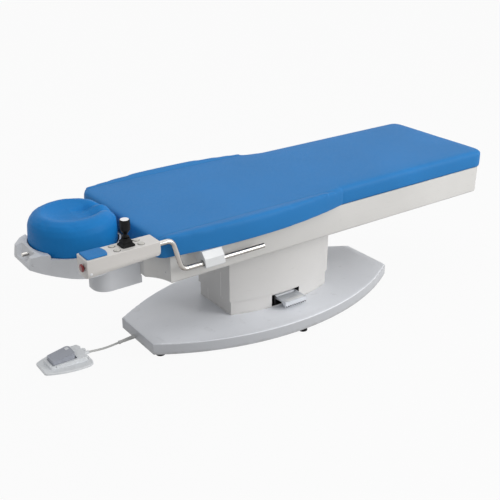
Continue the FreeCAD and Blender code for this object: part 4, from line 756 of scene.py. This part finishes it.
def stepped_boot():
    """The joystick's rubber boot: a square foot, a waist, a square bulge and a round mouth, hollow inside."""
    x, y, low = -0.768, -0.308, 0.5855
    steps = [(0.0235, 0.0), (0.0240, 0.0015), (0.0238, 0.0030), (0.0200, 0.0060), (0.0178, 0.0090),
             (0.0172, 0.0115), (0.0178, 0.0135), (0.0176, 0.0160), (0.0150, 0.0190), (0.0136, 0.0225),
             (0.0134, 0.0265)]
    bm = bmesh.new()
    ring = bmesh.ops.create_circle(bm, cap_ends=False, radius=1, segments=40)["verts"]
    edges = bm.edges[:]
    for number, (half, height) in enumerate(steps):
        if number:
            out = bmesh.ops.extrude_edge_only(bm, edges=edges)["geom"]
            ring, edges = verts_in(out), edges_in(out)
        square = max(0.0, min(1.0, (0.0225 - height) / 0.006))
        for vertex in ring:
            angle = math.atan2(vertex.co.y - (y if number else 0), vertex.co.x - (x if number else 0))
            across = max(abs(math.cos(angle)), abs(math.sin(angle)))
            reach = half * ((1 - square) + square * min(1 / across, 1.28))
            vertex.co = Vector((x + reach * math.cos(angle), y + reach * math.sin(angle), low + height))
    bmesh.ops.recalc_face_normals(bm, faces=bm.faces)
    piece = made("stepped_boot", bm, "black_rubber", "console", ["joystick_boot"], smooth=60)
    wall = piece.modifiers.new("wall", "SOLIDIFY")
    wall.thickness = 0.0013
    wall.offset = -1
    return piece


def stick_collar():
    """The bellows' cap, which moves with the stick and covers the boot's mouth."""
    profile = [(0.0042, 0.0), (0.0116, 0.0), (0.0118, 0.0008), (0.0108, 0.0018), (0.0084, 0.0034),
               (0.0068, 0.0060), (0.0066, 0.0088), (0.0078, 0.0104), (0.0088, 0.0122), (0.0042, 0.0130),
               (0.0042, 0.0)]
    made("stick_collar", turned(profile, (-0.768, -0.308, 0.6150), (0, 0, 1), 40), "black_rubber", "joystick")


def plate(size, place, tilt=0.0):
    """A thin plate with broken edges, set flat or tilted about the cross axis."""
    bm = bmesh.new()
    bmesh.ops.create_cube(bm, size=1)
    bmesh.ops.scale(bm, vec=size, verts=bm.verts)
    bmesh.ops.bevel(bm, geom=bm.edges[:], offset=0.0004, offset_type="OFFSET", segments=3, profile=0.5,
                    affect="EDGES", material=-1)
    turn = Matrix.Rotation(math.radians(tilt), 4, "Y")
    bmesh.ops.transform(bm, matrix=Matrix.Translation(place) @ turn, verts=bm.verts)
    return bm


def pedal_details():
    """The pale pad on the castor pedal."""
    pad = plate((0.084, 0.018, 0.0012), (0.0200, -0.1935, 0.1013))
    made("pedal_pad", pad, "white_casting", "castor_pedal")


def tread_inset():
    inset = plate((0.013, 0.015, 0.0010), (-0.8605, 0.0650, 0.0469), -7.05)
    made("tread_inset", inset, "switch_plastic", "foot_switch_tread")


tray_screw()
casing_screw()
console_plugs()
button_gap_shades()
stepped_boot()
stick_collar()
pedal_details()
tread_inset()


# Floor, backdrop and light

def bright_floor():
    bm = bmesh.new()
    bmesh.ops.create_grid(bm, x_segments=1, y_segments=1, size=30)
    mesh = bpy.data.meshes.new("floor")
    bm.to_mesh(mesh)
    bm.free()
    floor = bpy.data.objects.new("floor", mesh)
    bpy.context.scene.collection.objects.link(floor)
    material = bpy.data.materials.new("floor")
    material.use_nodes = True
    nodes, links = material.node_tree.nodes, material.node_tree.links
    nodes.clear()
    matt = nodes.new("ShaderNodeBsdfDiffuse")
    matt.inputs["Color"].default_value = (0.42, 0.42, 0.42, 1)
    white = nodes.new("ShaderNodeEmission")
    white.inputs["Strength"].default_value = 1.0
    path = nodes.new("ShaderNodeLightPath")
    direct = nodes.new("ShaderNodeMath")
    direct.operation = "MAXIMUM"
    links.new(path.outputs["Is Camera Ray"], direct.inputs[0])
    links.new(path.outputs["Is Glossy Ray"], direct.inputs[1])
    seen = nodes.new("ShaderNodeMath")
    seen.operation = "MULTIPLY"
    seen.inputs[1].default_value = 0.94
    links.new(direct.outputs[0], seen.inputs[0])
    blend = nodes.new("ShaderNodeMixShader")
    links.new(seen.outputs[0], blend.inputs[0])
    links.new(matt.outputs[0], blend.inputs[1])
    links.new(white.outputs[0], blend.inputs[2])
    links.new(blend.outputs[0], nodes.new("ShaderNodeOutputMaterial").inputs[0])
    mesh.materials.append(material)


BRIGHT_SIDE = (0.72, -0.56, 0.40)


def sky():
    """A white backdrop whose light on the object comes most from the foot end's near side."""
    world = bpy.data.worlds.new("studio")
    bpy.context.scene.world = world
    world.use_nodes = True
    nodes, links = world.node_tree.nodes, world.node_tree.links
    nodes.clear()
    dim = nodes.new("ShaderNodeBackground")
    facing = nodes.new("ShaderNodeVectorMath")
    facing.operation = "DOT_PRODUCT"
    facing.inputs[1].default_value = BRIGHT_SIDE
    links.new(nodes.new("ShaderNodeTexCoord").outputs["Generated"], facing.inputs[0])
    fall = nodes.new("ShaderNodeMapRange")
    for name, number in (("From Min", -0.8), ("From Max", 0.8), ("To Min", 0.50), ("To Max", 1.15)):
        fall.inputs[name].default_value = number
    links.new(facing.outputs["Value"], fall.inputs["Value"])
    links.new(fall.outputs["Result"], dim.inputs["Strength"])
    white = nodes.new("ShaderNodeBackground")
    white.inputs["Color"].default_value = (1, 1, 1, 1)
    white.inputs["Strength"].default_value = 1.0
    path = nodes.new("ShaderNodeLightPath")
    clear = nodes.new("ShaderNodeMath")
    clear.operation = "MAXIMUM"
    links.new(path.outputs["Is Camera Ray"], clear.inputs[0])
    links.new(path.outputs["Is Transmission Ray"], clear.inputs[1])
    seen = nodes.new("ShaderNodeMath")
    seen.operation = "MAXIMUM"
    links.new(clear.outputs[0], seen.inputs[0])
    links.new(path.outputs["Is Glossy Ray"], seen.inputs[1])
    blend = nodes.new("ShaderNodeMixShader")
    links.new(seen.outputs[0], blend.inputs[0])
    links.new(dim.outputs[0], blend.inputs[1])
    links.new(white.outputs[0], blend.inputs[2])
    links.new(blend.outputs[0], nodes.new("ShaderNodeOutputWorld").inputs[0])


def lamp(name, place, target, size, power, colour=(1, 1, 1)):
    data = bpy.data.lights.new(name, "AREA")
    data.shape = "SQUARE"
    data.size = size
    data.energy = power
    data.color = colour
    light = bpy.data.objects.new(name, data)
    light.location = place
    light.rotation_euler = (Vector(target) - Vector(place)).to_track_quat("-Z", "Y").to_euler()
    bpy.context.scene.collection.objects.link(light)


bright_floor()
sky()
lamp("key", (2.7, -3.7, 2.0), (0, 0, 0.4), 2.2, 105, (1.0, 0.985, 0.96))
lamp("top", (-0.2, 0.4, 3.6), (0, 0, 0.4), 2.8, 20, (0.96, 0.98, 1.0))

bpy.context.scene.view_settings.view_transform = "Standard"
bpy.context.view_layer.update()
